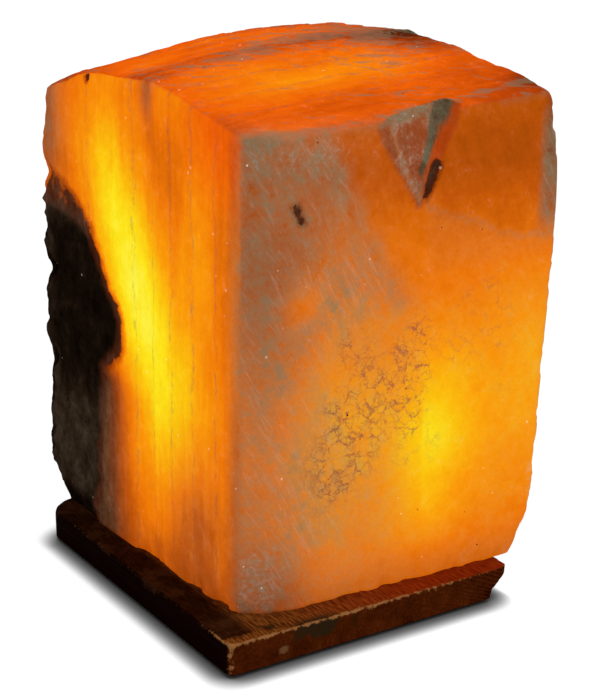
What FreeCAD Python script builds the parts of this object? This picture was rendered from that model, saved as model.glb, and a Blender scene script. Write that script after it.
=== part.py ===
import FreeCAD, Part
import Sketcher
import math
import os

# Salt crystal lamp: a hewn block of rock salt on a rough wooden slab. The slab is screwed up into
# the salt, and a small lampholder with its lamp is pushed up through the slab into a bore in the salt.
# Millimetres, +Z up. The origin lies under the middle of the whole outline, where the feet stand.

os.makedirs("parts", exist_ok=True)
doc = FreeCAD.newDocument("salt_crystal_lamp")
sheet = doc.addObject("Spreadsheet::Sheet", "sizes")

# ---------------------------------------------------------------------------------------------
# Driving dimensions, in millimetres and degrees
# ---------------------------------------------------------------------------------------------

SIZES = {
    # wooden slab
    "base_length": 176.0,
    "base_depth": 214.0,
    "base_thickness": 16.0,
    "nose_cut_x": 7.0,
    "nose_cut_y": 11.0,
    "back_cut_x": 12.6,
    "back_cut_y": 10.0,
    "bark_undercut": 15.0,
    "bark_height": 13.0,
    "base_bore": 36.0,
    "recess_bore": 46.0,
    "recess_depth": 8.0,
    "channel_width": 9.0,
    "bore_x": 92.0,
    "bore_y": 106.0,
    # feet
    "foot_height": 2.0,
    "foot_bore": 16.0,
    "foot_inset": 20.0,
    # salt block: the sawn blank that every hewn face is measured from
    "block_inset_x": 12.0,
    "block_inset_y": 6.5,
    "block_width": 188.0,
    "block_depth": 231.5,
    "block_height": 274.5,
    "notch_x": 104.5,
    "notch_drop": 72.5,
    "notch_inset": 3.5,
    "notch_floor_turn": 280.4,
    "notch_floor_lean": 7.0,
    "notch_wall_turn": 201.2,
    "notch_wall_lean": 24.1,
    "lamp_bore": 50.0,
    "lamp_bore_depth": 150.0,
    # screws and plugs between the slab and the salt
    "screw_pitch_x": 104.0,
    "screw_pitch_y": 130.0,
    "screw_length": 42.0,
    "screw_shank": 4.5,
    "screw_core": 3.2,
    "screw_head": 9.0,
    "screw_tip": 5.0,
    "screw_clearance": 0.25,
    "driver_slot": 1.0,
    "driver_length": 5.0,
    "driver_depth": 1.6,
    "plug_bore": 8.0,
    "plug_length": 30.0,
    "plug_clearance": 0.05,
    "plug_slot": 1.0,
    # lampholder
    "flange_bore": 44.0,
    "flange_thickness": 2.0,
    "cap_bore": 27.0,
    "cap_height": 16.0,
    "cap_floor": 3.0,
    "cap_wall": 3.9,
    "cord_bore": 7.5,
    "spigot_wall": 1.2,
    "spigot_length": 6.0,
    "spigot_clearance": 0.1,
    "holder_height": 34.0,
    "holder_wall": 3.3,
    "mouth_bore": 18.4,
    "mouth_lip": 4.0,
    "mouth_bevel": 1.5,
    "insert_clearance": 0.1,
    "insert_height": 14.0,
    "terminal_spread": 9.0,
    "terminal_length": 5.6,
    "terminal_depth": 7.6,
    "terminal_height": 8.0,
    "terminal_clearance": 0.2,
    "pocket_depth": 10.0,
    "wire_hole": 2.4,
    "terminal_screw": 2.6,
    "terminal_head": 3.6,
    "terminal_offset": 2.0,
    "rivet_shank": 2.0,
    "rivet_head": 3.4,
    "rivet_crown": 0.8,
    "strip_thickness": 0.4,
    "strip_width": 4.0,
    "tongue_rise": 3.4,
    "tongue_gap": 0.1,
    "tab_height": 4.0,
    "sleeve_height": 18.0,
    "sleeve_wall": 0.8,
    "sleeve_thread_start": 5.5,
    "sleeve_thread_height": 9.0,
    "clip_height": 3.0,
    "clip_thickness": 0.5,
    "clip_width": 8.0,
    "clip_bow": 17.7,
    "clip_tip": 15.0,
    "clip_rise": 18.0,
    # lamp
    "thread_major": 13.89,
    "thread_minor": 12.29,
    "thread_pitch": 2.822,
    "thread_root": 1.2,
    "thread_mouth": 2.0,
    "thread_clearance": 0.075,
    "lamp_tip": 4.4,
    "lamp_tip_height": 0.9,
    "insulator_end": 6.4,
    "insulator_height": 2.5,
    "insulator_plug": 2.0,
    "lamp_cap_bore": 11.2,
    "lamp_cap_thread": 13.6,
    "lamp_cap_flare": 2.0,
    "lamp_cap_skirt": 6.0,
    "lamp_cap_rim": 17.0,
    "lamp_cap_wall": 0.6,
    "lamp_neck_gap": 0.2,
    "glass_wall": 0.8,
    "glass_bore": 26.0,
    "glass_shoulder": 8.0,
    "glass_length": 14.0,
    "stem_base": 5.0,
    "stem_waist": 6.0,
    "stem_bore": 4.8,
    "stem_height": 16.0,
    "wire_bore": 0.5,
    "wire_spread": 3.2,
    "filament_bore": 0.6,
    "filament_ring": 14.0,
    "filament_sweep": 300.0,
    "filament_lift": 8.0,
}

# Hewn faces of the salt: the corner of the blank that each is measured from (0, 0.5 or 1 of its
# width, depth and height), the compass turn of the face, its upward lean, and how deep it is cut.
HEWN_FACES = {
    "front": ((0.5, 0, 0.5), 268.1, -1.1, 5.0),
    "left": ((0, 0.5, 0.5), 182.0, 0.7, 5.5),
    "front_left": ((0, 0, 0.5), 238.2, -0.2, 20.8),
    "right_flank": ((1, 0.5, 0.5), 2.0, -2.4, 4.4),
    "right_shoulder": ((1, 0.5, 1), 2.0, 9.0, 13.9),
    "right_foot": ((1, 0.5, 0), 2.0, -20.0, 17.3),
    "right_root": ((1, 0.5, 0), 2.0, -50.0, 12.8),
    "back": ((0.5, 1, 0.5), 90.0, 1.2, 3.1),
    "back_shoulder": ((0.5, 1, 1), 90.0, 14.0, 20.7),
    "back_foot": ((0.5, 1, 0), 96.0, -50.0, 9.4),
    "brow": ((0.5, 0, 1), 248.2, 74.9, 33.6),
    "crest": ((0.5, 0.5, 1), 180.0, 87.8, 3.6),
    "crest_left": ((0, 0.5, 1), 180.0, 78.1, 21.1),
    "crest_back_left": ((0, 1, 1), 126.5, 71.4, 35.3),
    "crest_back": ((0.5, 1, 1), 106.7, 84.0, 7.7),
}

for face, (corner, turn, lean, cut) in HEWN_FACES.items():
    SIZES[face + "_turn"] = turn
    SIZES[face + "_lean"] = lean
    SIZES[face + "_cut"] = cut

for row, (alias, value) in enumerate(SIZES.items(), start=1):
    sheet.set("A%d" % row, alias)
    sheet.set("B%d" % row, str(value))
    sheet.setAlias("B%d" % row, alias)
doc.recompute()

# ---------------------------------------------------------------------------------------------
# Places worked out from the driving dimensions
# ---------------------------------------------------------------------------------------------

BASE_LEFT = "(-(sizes.block_inset_x + sizes.block_width) / 2)"
BASE_FRONT = "(-(sizes.block_inset_y + sizes.block_depth) / 2)"
BASE_TOP = "(sizes.foot_height + sizes.base_thickness)"
AXIS_X = "(" + BASE_LEFT + " + sizes.bore_x)"
AXIS_Y = "(" + BASE_FRONT + " + sizes.bore_y)"
SEAT = "(sizes.foot_height + sizes.recess_depth)"
FLANGE = "(" + SEAT + " - sizes.flange_thickness)"
CAP_RIM = "(" + SEAT + " + sizes.cap_height)"
LEDGE = "(" + CAP_RIM + " - sizes.spigot_length)"
BARREL = "(sizes.cap_bore / 2 - sizes.holder_wall)"
INSERT = "(" + BARREL + " - sizes.insert_clearance)"
INSERT_TOP = "(" + LEDGE + " + sizes.insert_height)"
POCKET_TOP = "(" + LEDGE + " + sizes.pocket_depth)"
HOLDER_TOP = "(" + CAP_RIM + " + sizes.holder_height)"
TIP = "(" + INSERT_TOP + " + sizes.strip_thickness + sizes.tongue_rise + sizes.tongue_gap)"
INSULATOR = "(" + TIP + " + sizes.lamp_tip_height)"
CAP_END = "(" + INSULATOR + " + sizes.insulator_height)"
FLARE = "(" + CAP_END + " + sizes.lamp_cap_thread)"
SKIRT = "(" + FLARE + " + sizes.lamp_cap_flare)"
SKIRT_TOP = "(" + SKIRT + " + sizes.lamp_cap_skirt)"
NECK = "(sizes.lamp_cap_rim / 2 - sizes.lamp_cap_wall - sizes.lamp_neck_gap)"
SHOULDER = "(" + SKIRT_TOP + " + sizes.glass_shoulder)"
DOME = "(" + SHOULDER + " + sizes.glass_length)"
STEM_TOP = "(" + SKIRT + " + sizes.stem_height)"
FILAMENT = "(" + STEM_TOP + " + sizes.filament_lift)"
SLEEVE_BORE = "(sizes.thread_major / 2 + sizes.thread_clearance)"

LAMP_AXIS = (AXIS_X, AXIS_Y, "0")
MARGIN = "1"
REACH = "(sizes.block_width + sizes.block_depth + sizes.block_height)"


def number(expression):
    """The value of a sheet expression now, in millimetres or degrees."""
    return float(sheet.evalExpression(expression))


# ---------------------------------------------------------------------------------------------
# Small helpers: each makes one object whose sizes and place are bound to the sheet
# ---------------------------------------------------------------------------------------------

def bind(item, settings):
    for name, expression in settings.items():
        item.setExpression(name, expression)


def place(item, at, turn=None):
    """Put an item at a point, turned about the upright if a turn is given."""
    if turn is None:
        bind(item, {"Placement.Base." + axis: value for axis, value in zip("xyz", at)})
    else:
        point = "vector(%s; %s; %s)" % tuple(at)
        item.setExpression("Placement", "placement(%s; rotation(%s; 0; 0))" % (point, turn))


def box(name, at, size, turn=None):
    item = doc.addObject("Part::Box", name)
    bind(item, dict(zip(("Length", "Width", "Height"), size)))
    place(item, at, turn)
    return item


def cylinder(name, at, bore, height):
    item = doc.addObject("Part::Cylinder", name)
    bind(item, {"Radius": "(" + bore + ") / 2", "Height": height})
    place(item, at)
    return item


def cone(name, at, lower, upper, height):
    item = doc.addObject("Part::Cone", name)
    bind(item, {"Radius1": "(" + lower + ") / 2", "Radius2": "(" + upper + ") / 2", "Height": height})
    place(item, at)
    return item


def cut(name, base, tool):
    item = doc.addObject("Part::Cut", name)
    item.Base = base
    item.Tool = tool
    return item


def common(name, base, tool):
    item = doc.addObject("Part::Common", name)
    item.Base = base
    item.Tool = tool
    return item


def fuse(name, shapes):
    item = doc.addObject("Part::MultiFuse", name)
    item.Shapes = shapes
    return item


def group(name, copies):
    """Identical pieces that share one sub-part, as separate solids."""
    item = doc.addObject("Part::Compound", name)
    item.Links = copies
    return item


def origin_plane(body, role):
    return next(item for item in body.Origin.OriginFeatures if item.Role == role)


def sketch_on(body, name, role):
    drawing = body.newObject("Sketcher::SketchObject", name)
    drawing.AttachmentSupport = (origin_plane(body, role), [""])
    drawing.MapMode = "FlatFace"
    return drawing


def tie(drawing, line, end, point):
    """Hold one end of a line at a point given as two sheet expressions."""
    for kind, expression in zip(("DistanceX", "DistanceY"), point):
        value = number(expression)
        index = drawing.addConstraint(Sketcher.Constraint(kind, -1, 1, line, end, value))
        drawing.setExpression("Constraints[%d]" % index, expression)


def outline(drawing, points, arcs=None):
    """A closed outline through the points. arcs gives a centre for the side that starts at a point:
    the side is then a quarter circle about that centre, anticlockwise or clockwise."""
    arcs = arcs or {}

    def runs_back(side):
        return side in arcs and arcs[side][2] == "clockwise"

    corners = [FreeCAD.Vector(number(across), number(along), 0) for across, along in points]
    for index, start in enumerate(corners):
        end = corners[(index + 1) % len(corners)]
        if index in arcs:
            centre = FreeCAD.Vector(number(arcs[index][0]), number(arcs[index][1]), 0)
            middle = (start + end) * 0.5 - centre
            middle.normalize()
            crown = centre + middle * (start - centre).Length
            drawing.addGeometry(Part.Arc(start, crown, end), False)
        else:
            drawing.addGeometry(Part.LineSegment(start, end), False)
    for index in range(len(corners)):
        following = (index + 1) % len(corners)
        ends = (index, 2 - runs_back(index), following, 1 + runs_back(following))
        drawing.addConstraint(Sketcher.Constraint("Coincident", *ends))
    for index, point in enumerate(points):
        tie(drawing, index, 1 + runs_back(index), point)
    for index, arc in arcs.items():
        value = number(arc[1])
        height = drawing.addConstraint(Sketcher.Constraint("DistanceY", -1, 1, index, 3, value))
        drawing.setExpression("Constraints[%d]" % height, arc[1])


def draw_circles(drawing, centres, bore):
    upright = FreeCAD.Vector(0, 0, 1)
    for x, y in centres:
        middle = FreeCAD.Vector(number(x), number(y), 0)
        ring = drawing.addGeometry(Part.Circle(middle, upright, number(bore) / 2), False)
        tie(drawing, ring, 3, (x, y))
        width = drawing.addConstraint(Sketcher.Constraint("Diameter", ring, number(bore)))
        drawing.setExpression("Constraints[%d]" % width, bore)


def turned(name, points, arcs=None):
    """A piece turned about the lamp's axis: points are (radius, height above the table)."""
    body = doc.addObject("PartDesign::Body", name)
    drawing = sketch_on(body, name + "_profile", "XZ_Plane")
    outline(drawing, points, arcs)
    turning = body.newObject("PartDesign::Revolution", name + "_turning")
    turning.Profile = drawing
    turning.ReferenceAxis = (drawing, ["V_Axis"])
    turning.Angle = 360
    place(body, LAMP_AXIS)
    return body


def threaded(body, kind, name, points, height):
    """Cut or raise a helical thread of the lamp's pitch along the body's axis."""
    drawing = sketch_on(body, name + "_profile", "XZ_Plane")
    outline(drawing, points)
    thread = body.newObject(kind, name)
    thread.Profile = drawing
    thread.ReferenceAxis = (drawing, ["V_Axis"])
    thread.Mode = 0
    bind(thread, {"Pitch": "sizes.thread_pitch", "Height": height})
    return thread


def corners_about(x, y, spread_x, spread_y):
    """Four places about a centre, as pairs of expressions."""
    return [
        (x + " + (%d) * " % side + spread_x + " / 2", y + " + (%d) * " % end + spread_y + " / 2")
        for side in (-1, 1)
        for end in (-1, 1)
    ]


nodes = {}


def node(name, item):
    """Name a finished sub-part: the label is also the name of its file."""
    item.Label = name
    nodes[name] = item


# ---------------------------------------------------------------------------------------------
# Wooden slab, rough-sawn, with a bark edge on the right, bored and channelled from below
# ---------------------------------------------------------------------------------------------

SCREW_PLACES = corners_about(
    "sizes.bore_x", "sizes.bore_y", "sizes.screw_pitch_x", "sizes.screw_pitch_y"
)


def wood_base():
    body = doc.addObject("PartDesign::Body", "slab")
    plan = sketch_on(body, "slab_plan", "XY_Plane")
    outline(plan, [
        ("0", "0"),
        ("sizes.base_length - sizes.nose_cut_x", "0"),
        ("sizes.base_length", "sizes.nose_cut_y"),
        ("sizes.base_length", "sizes.base_depth"),
        ("sizes.back_cut_x", "sizes.base_depth"),
        ("0", "sizes.base_depth - sizes.back_cut_y"),
    ])
    board = body.newObject("PartDesign::Pad", "slab_board")
    board.Profile = plan
    bind(board, {"Length": "sizes.base_thickness"})

    bark = sketch_on(body, "slab_bark", "XZ_Plane")
    outline(bark, [
        ("sizes.base_length - sizes.bark_undercut", "0"),
        ("sizes.base_length + " + MARGIN, "0"),
        ("sizes.base_length + " + MARGIN, "sizes.bark_height"),
        ("sizes.base_length", "sizes.bark_height"),
    ])
    wane = body.newObject("PartDesign::Pocket", "slab_wane")
    wane.Profile = bark
    wane.Type = 1
    wane.Midplane = True

    channel = sketch_on(body, "slab_channel_plan", "XY_Plane")
    half = "sizes.channel_width / 2"
    outline(channel, [
        ("sizes.bore_x - " + half, "sizes.bore_y"),
        ("sizes.bore_x + " + half, "sizes.bore_y"),
        ("sizes.bore_x + " + half, "sizes.base_depth + " + MARGIN),
        ("sizes.bore_x - " + half, "sizes.base_depth + " + MARGIN),
    ])
    groove = body.newObject("PartDesign::Pocket", "slab_channel")
    groove.Profile = channel
    groove.Reversed = True
    bind(groove, {"Length": "sizes.recess_depth"})

    for name, bore, through in (("recess", "recess_bore", False), ("bore", "base_bore", True)):
        circle = sketch_on(body, "slab_%s_plan" % name, "XY_Plane")
        draw_circles(circle, [("sizes.bore_x", "sizes.bore_y")], "sizes." + bore)
        pocket = body.newObject("PartDesign::Pocket", "slab_" + name)
        pocket.Profile = circle
        pocket.Reversed = True
        if through:
            pocket.Type = 1
        else:
            bind(pocket, {"Length": "sizes.recess_depth"})

    screws = sketch_on(body, "slab_screw_plan", "XY_Plane")
    draw_circles(screws, SCREW_PLACES, "sizes.screw_shank")
    doc.recompute()
    holes = body.newObject("PartDesign::Hole", "slab_screw_holes")
    holes.Profile = screws
    doc.recompute()
    holes.Reversed = True
    holes.DepthType = "ThroughAll"
    holes.HoleCutType = "Countersink"
    holes.HoleCutCountersinkAngle = 90
    bind(holes, {
        "Diameter": "sizes.screw_shank + 2 * sizes.screw_clearance",
        "HoleCutDiameter": "sizes.screw_head + 2 * sizes.screw_clearance",
    })
    place(body, (BASE_LEFT, BASE_FRONT, "sizes.foot_height"))
    return body


node("wood_base", wood_base())

# Feet: four round pads glued under the slab, clear of the bark edge
foot_left = BASE_LEFT + " + sizes.foot_inset"
foot_right = BASE_LEFT + " + sizes.base_length - sizes.bark_undercut - sizes.foot_inset"
foot_front = BASE_FRONT + " + sizes.foot_inset"
foot_back = BASE_FRONT + " + sizes.base_depth - sizes.foot_inset"
foot_places = [(x, y, "0") for x in (foot_left, foot_right) for y in (foot_front, foot_back)]
feet = [
    cylinder("foot_%d" % index, at, "sizes.foot_bore", "sizes.foot_height")
    for index, at in enumerate(foot_places)
]
node("feet", group("feet_group", feet))

# ---------------------------------------------------------------------------------------------
# Rock salt: a blank hewn along its faces, notched at the brow, bored for the lamp and the plugs
# ---------------------------------------------------------------------------------------------

BLOCK_LEFT = BASE_LEFT + " + sizes.block_inset_x"
BLOCK_FRONT = BASE_FRONT + " + sizes.block_inset_y"


def waste(name, point, turn, lean, depth):
    """What lies outside a hewn face: a wide round, square to the face, cut depth below the point."""
    item = doc.addObject("Part::Cylinder", name)
    bind(item, {"Radius": REACH, "Height": REACH})
    outward = (
        "cos({0}) * cos({1})".format(turn, lean),
        "sin({0}) * cos({1})".format(turn, lean),
        "sin({0})".format(lean),
    )
    foot = tuple("%s - %s * %s" % (at, along, depth) for at, along in zip(point, outward))
    facing = "rotation(%s; 90 - %s; 0)" % (turn, lean)
    item.setExpression("Placement", "placement(vector(%s; %s; %s); " % foot + facing + ")")
    return item


def salt_block():
    block = box(
        "salt_blank",
        (BLOCK_LEFT, BLOCK_FRONT, BASE_TOP),
        ("sizes.block_width", "sizes.block_depth", "sizes.block_height"),
    )
    for face, (corner, _, _, _) in HEWN_FACES.items():
        point = (
            "%s + %s * sizes.block_width" % (BLOCK_LEFT, corner[0]),
            "%s + %s * sizes.block_depth" % (BLOCK_FRONT, corner[1]),
            "%s + %s * sizes.block_height" % (BASE_TOP, corner[2]),
        )
        angles = ["sizes.%s_%s" % (face, kind) for kind in ("turn", "lean", "cut")]
        block = cut("salt_" + face, block, waste("waste_" + face, point, *angles))

    notch_root = (
        BLOCK_LEFT + " + sizes.notch_x",
        BLOCK_FRONT + " + sizes.notch_inset",
        BASE_TOP + " + sizes.block_height - sizes.notch_drop",
    )
    floor = waste("notch_floor", notch_root, "sizes.notch_floor_turn", "sizes.notch_floor_lean", "0")
    wall = waste("notch_wall", notch_root, "sizes.notch_wall_turn", "sizes.notch_wall_lean", "0")
    block = cut("salt_notched", block, common("notch", floor, wall))

    straight = "sizes.lamp_bore_depth - sizes.lamp_bore / 2"
    tube = cylinder("lamp_bore_tube", LAMP_AXIS[:2] + (BASE_TOP + " - " + MARGIN,),
                    "sizes.lamp_bore", straight + " + " + MARGIN)
    end = doc.addObject("Part::Sphere", "lamp_bore_end")
    bind(end, {"Radius": "sizes.lamp_bore / 2"})
    place(end, (AXIS_X, AXIS_Y, BASE_TOP + " + " + straight))
    sockets = [
        cylinder(
            "plug_socket_%d" % index,
            (BASE_LEFT + " + " + x, BASE_FRONT + " + " + y, BASE_TOP + " - " + MARGIN),
            "sizes.plug_bore + 2 * sizes.plug_clearance",
            "sizes.plug_length + sizes.screw_clearance + " + MARGIN,
        )
        for index, (x, y) in enumerate(SCREW_PLACES)
    ]
    return cut("salt", block, fuse("salt_bores", [tube, end] + sockets))


node("salt_block", salt_block())

# ---------------------------------------------------------------------------------------------
# Plugs and countersunk screws that hold the slab to the salt
# ---------------------------------------------------------------------------------------------

HEAD_HEIGHT = "(sizes.screw_head - sizes.screw_shank) / 2"
CORE_START = "(sizes.base_thickness - sizes.screw_clearance)"


def base_screw(index, x, y):
    """A countersunk wood screw: head, shank through the slab, core in the plug, tip, crossed slots."""
    name = "screw_%d_" % index
    low = "sizes.foot_height + sizes.screw_clearance"
    core = "sizes.screw_core"
    core_length = "sizes.screw_length - sizes.screw_tip"
    tip_at = low + " + " + core_length
    solid = fuse(name + "blank", [
        cone(name + "head", (x, y, low), "sizes.screw_head", "sizes.screw_shank", HEAD_HEIGHT),
        cylinder(name + "shank", (x, y, low), "sizes.screw_shank", CORE_START),
        cylinder(name + "core", (x, y, low), core, core_length),
        cone(name + "tip", (x, y, tip_at), core, core + " / 4", "sizes.screw_tip"),
    ])
    long, short = "sizes.driver_length", "sizes.driver_slot"
    slots = []
    for axis, (across_x, across_y) in enumerate(((long, short), (short, long))):
        at = (x + " - " + across_x + " / 2", y + " - " + across_y + " / 2", low + " - " + MARGIN)
        size = (across_x, across_y, "sizes.driver_depth + " + MARGIN)
        slots.append(box(name + "slot_%d" % axis, at, size))
    return cut(name + "driven", solid, fuse(name + "slots", slots))


def salt_plug(index, x, y):
    """A split plastic plug, bored for the screw's core."""
    name = "plug_%d_" % index
    sleeve = cylinder(name + "sleeve", (x, y, BASE_TOP), "sizes.plug_bore", "sizes.plug_length")
    reach = "sizes.screw_length - sizes.base_thickness + sizes.screw_shank"
    bore = cylinder(name + "bore", (x, y, BASE_TOP + " - " + MARGIN),
                    "sizes.screw_core + 2 * sizes.plug_clearance", reach)
    split = box(
        name + "split",
        (x + " - sizes.plug_bore", y + " - sizes.plug_slot / 2", BASE_TOP + " + sizes.plug_bore"),
        ("2 * sizes.plug_bore", "sizes.plug_slot", "sizes.plug_length - 2 * sizes.plug_bore"),
    )
    return cut(name + "split_sleeve", sleeve, fuse(name + "openings", [bore, split]))


fixings = [(BASE_LEFT + " + " + x, BASE_FRONT + " + " + y) for x, y in SCREW_PLACES]
node("base_screws", group("screws", [base_screw(index, x, y) for index, (x, y) in enumerate(fixings)]))
node("salt_plugs", group("plugs", [salt_plug(index, x, y) for index, (x, y) in enumerate(fixings)]))

# ---------------------------------------------------------------------------------------------
# Lampholder: flanged cap, barrel and contact block
# ---------------------------------------------------------------------------------------------

CAP_OUTER = "sizes.cap_bore / 2"
CAP_INNER = "(" + BARREL + " - sizes.cap_wall + sizes.holder_wall)"
SPIGOT_OUTER = "(" + BARREL + " + sizes.spigot_wall)"
CORD = "sizes.cord_bore / 2"

node("holder_cap", turned("cap", [
    (CORD, FLANGE),
    ("sizes.flange_bore / 2", FLANGE),
    ("sizes.flange_bore / 2", SEAT),
    (CAP_OUTER, SEAT),
    (CAP_OUTER, CAP_RIM),
    (SPIGOT_OUTER + " + sizes.spigot_clearance", CAP_RIM),
    (SPIGOT_OUTER + " + sizes.spigot_clearance", LEDGE),
    (CAP_INNER, LEDGE),
    (CAP_INNER, FLANGE + " + sizes.cap_floor"),
    (CORD, FLANGE + " + sizes.cap_floor"),
]))

node("holder_body", turned("barrel", [
    (BARREL, LEDGE),
    (SPIGOT_OUTER, LEDGE),
    (SPIGOT_OUTER, CAP_RIM),
    (CAP_OUTER, CAP_RIM),
    (CAP_OUTER, HOLDER_TOP + " - sizes.mouth_bevel"),
    (CAP_OUTER + " - sizes.mouth_bevel", HOLDER_TOP),
    ("sizes.mouth_bore / 2", HOLDER_TOP),
    ("sizes.mouth_bore / 2", HOLDER_TOP + " - sizes.mouth_lip"),
    (BARREL, HOLDER_TOP + " - sizes.mouth_lip"),
]))

TERMINALS = [("(%d) * sizes.terminal_spread / 2" % side) for side in (-1, 1)]


def contact_block():
    """The ceramic block: two pockets for the terminals from below, and the rivets' holes."""
    disc = cylinder("block_disc", (AXIS_X, AXIS_Y, LEDGE), "2 * " + INSERT, "sizes.insert_height")
    openings = []
    for index, offset in enumerate(TERMINALS):
        middle = AXIS_X + " + " + offset
        openings.append(box(
            "pocket_%d" % index,
            (middle + " - sizes.terminal_length / 2 - sizes.terminal_clearance",
             AXIS_Y + " - sizes.terminal_depth / 2 - sizes.terminal_clearance", LEDGE + " - " + MARGIN),
            ("sizes.terminal_length + 2 * sizes.terminal_clearance",
             "sizes.terminal_depth + 2 * sizes.terminal_clearance", "sizes.pocket_depth + " + MARGIN),
        ))
        openings.append(cylinder("rivet_hole_%d" % index, (middle, AXIS_Y, LEDGE),
                                 "sizes.rivet_shank", "sizes.insert_height + " + MARGIN))
    return cut("block", disc, fuse("block_openings", openings))


def terminal(index, offset):
    """A brass terminal in its pocket: a wire hole and a screw hole from below."""
    name = "terminal_%d_" % index
    middle = AXIS_X + " + " + offset
    low = POCKET_TOP + " - sizes.terminal_height"
    bar = box(name + "bar",
              (middle + " - sizes.terminal_length / 2", AXIS_Y + " - sizes.terminal_depth / 2", low),
              ("sizes.terminal_length", "sizes.terminal_depth", "sizes.terminal_height"))
    depth = "sizes.terminal_height - sizes.terminal_offset + " + MARGIN
    mouth = low + " - " + MARGIN
    wire_at = (middle, AXIS_Y + " - sizes.terminal_offset", mouth)
    screw_at = (middle, AXIS_Y + " + sizes.terminal_offset", mouth)
    holes = [
        cylinder(name + "wire_hole", wire_at, "sizes.wire_hole", depth),
        cylinder(name + "screw_hole", screw_at, "sizes.terminal_screw", depth),
    ]
    return cut(name + "block", bar, fuse(name + "holes", holes))


def terminal_screw(index, offset):
    name = "clamp_%d_" % index
    at = (AXIS_X + " + " + offset, AXIS_Y + " + sizes.terminal_offset")
    low = POCKET_TOP + " - sizes.terminal_height"
    head = "sizes.pocket_depth - sizes.terminal_height"
    return fuse(name + "screw", [
        cylinder(name + "head", at + (low + " - (" + head + ")",), "sizes.terminal_head", head),
        cylinder(name + "shank", at + (low,), "sizes.terminal_screw",
                 "sizes.terminal_height - sizes.terminal_offset - " + MARGIN),
    ])


def rivet(index, offset):
    name = "rivet_%d_" % index
    at = (AXIS_X + " + " + offset, AXIS_Y)
    return fuse(name + "set", [
        cylinder(name + "shank", at + (POCKET_TOP,), "sizes.rivet_shank",
                 "sizes.insert_height - sizes.pocket_depth + sizes.strip_thickness"),
        cone(name + "head", at + (INSERT_TOP + " + sizes.strip_thickness",),
             "sizes.rivet_head", "sizes.rivet_shank", "sizes.rivet_crown"),
    ])


node("holder_insert", contact_block())
pairs = list(enumerate(TERMINALS))
node("terminal_blocks", group("terminals", [terminal(index, offset) for index, offset in pairs]))
node("terminal_screws", group("clamps", [terminal_screw(index, offset) for index, offset in pairs]))
node("contact_rivets", group("rivets", [rivet(index, offset) for index, offset in pairs]))

# ---------------------------------------------------------------------------------------------
# Contacts: a bent strip is drawn from the side, raised to its width and pierced for its rivet
# ---------------------------------------------------------------------------------------------


def strip(name, offset, points):
    body = doc.addObject("PartDesign::Body", name)
    side = sketch_on(body, name + "_side", "XZ_Plane")
    outline(side, points)
    bar = body.newObject("PartDesign::Pad", name + "_bar")
    bar.Profile = side
    bar.Midplane = True
    bind(bar, {"Length": "sizes.strip_width"})
    pierced = sketch_on(body, name + "_hole_plan", "XY_Plane")
    draw_circles(pierced, [(offset, "0")], "sizes.rivet_shank")
    hole = body.newObject("PartDesign::Pocket", name + "_hole")
    hole.Profile = pierced
    hole.Reversed = True
    hole.Type = 1
    place(body, LAMP_AXIS)
    return body


STRIP_TOP = "(" + INSERT_TOP + " + sizes.strip_thickness)"
STRIP_END = "(sizes.terminal_spread / 2 + sizes.rivet_head / 2)"
STRIP_BEND = "(sizes.terminal_spread / 2 - sizes.rivet_head / 2)"
TONGUE_END = "(sizes.lamp_tip / 2)"
TAB = "sqrt(pow(" + SLEEVE_BORE + "; 2) - pow(sizes.strip_width / 2; 2)) - sizes.tongue_gap"

node("centre_contact", strip("tongue", "-sizes.terminal_spread / 2", [
    ("-" + STRIP_BEND, INSERT_TOP),
    (TONGUE_END, STRIP_TOP + " + sizes.tongue_rise - sizes.strip_thickness"),
    (TONGUE_END, STRIP_TOP + " + sizes.tongue_rise"),
    ("0", STRIP_TOP + " + sizes.tongue_rise"),
    ("-" + STRIP_BEND, STRIP_TOP),
    ("-" + STRIP_END, STRIP_TOP),
    ("-" + STRIP_END, INSERT_TOP),
]))

node("side_contact", strip("side_strip", "sizes.terminal_spread / 2", [
    (STRIP_BEND, INSERT_TOP),
    (TAB, INSERT_TOP),
    (TAB, INSERT_TOP + " + sizes.tab_height"),
    (TAB + " - sizes.strip_thickness", INSERT_TOP + " + sizes.tab_height"),
    (TAB + " - sizes.strip_thickness", STRIP_TOP),
    (STRIP_BEND, STRIP_TOP),
]))

# ---------------------------------------------------------------------------------------------
# Thread: the lamp's cap has the groove, the sleeve has the ridge, on the same helix
# ---------------------------------------------------------------------------------------------

CREST = "(sizes.thread_major / 2)"
ROOT = "(sizes.thread_minor / 2)"
RIDGE_START = "(" + INSERT_TOP + " + sizes.sleeve_thread_start)"
TURNS_BELOW = "1"
GROOVE_START = "(" + RIDGE_START + " - " + TURNS_BELOW + " * sizes.thread_pitch)"


def thread_section(outer, inner, middle, slack):
    """The thread's cross-section: wide at the outer radius and narrow at the inner one."""
    mouth = "(sizes.thread_mouth / 2 - %s)" % slack
    root = "(sizes.thread_root / 2 - %s)" % slack
    return [
        (inner, middle + " - " + root),
        (outer, middle + " - " + mouth),
        (outer, middle + " + " + mouth),
        (inner, middle + " + " + root),
    ]


def screw_sleeve():
    body = turned("sleeve", [
        (SLEEVE_BORE, INSERT_TOP),
        (SLEEVE_BORE + " + sizes.sleeve_wall", INSERT_TOP),
        (SLEEVE_BORE + " + sizes.sleeve_wall", INSERT_TOP + " + sizes.sleeve_height"),
        (SLEEVE_BORE, INSERT_TOP + " + sizes.sleeve_height"),
    ])
    section = thread_section(
        SLEEVE_BORE + " + sizes.sleeve_wall / 2", ROOT + " + sizes.thread_clearance",
        RIDGE_START, "2 * sizes.thread_clearance",
    )
    threaded(body, "PartDesign::AdditiveHelix", "sleeve_ridge", section, "sizes.sleeve_thread_height")
    return body


node("screw_sleeve", screw_sleeve())

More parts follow.
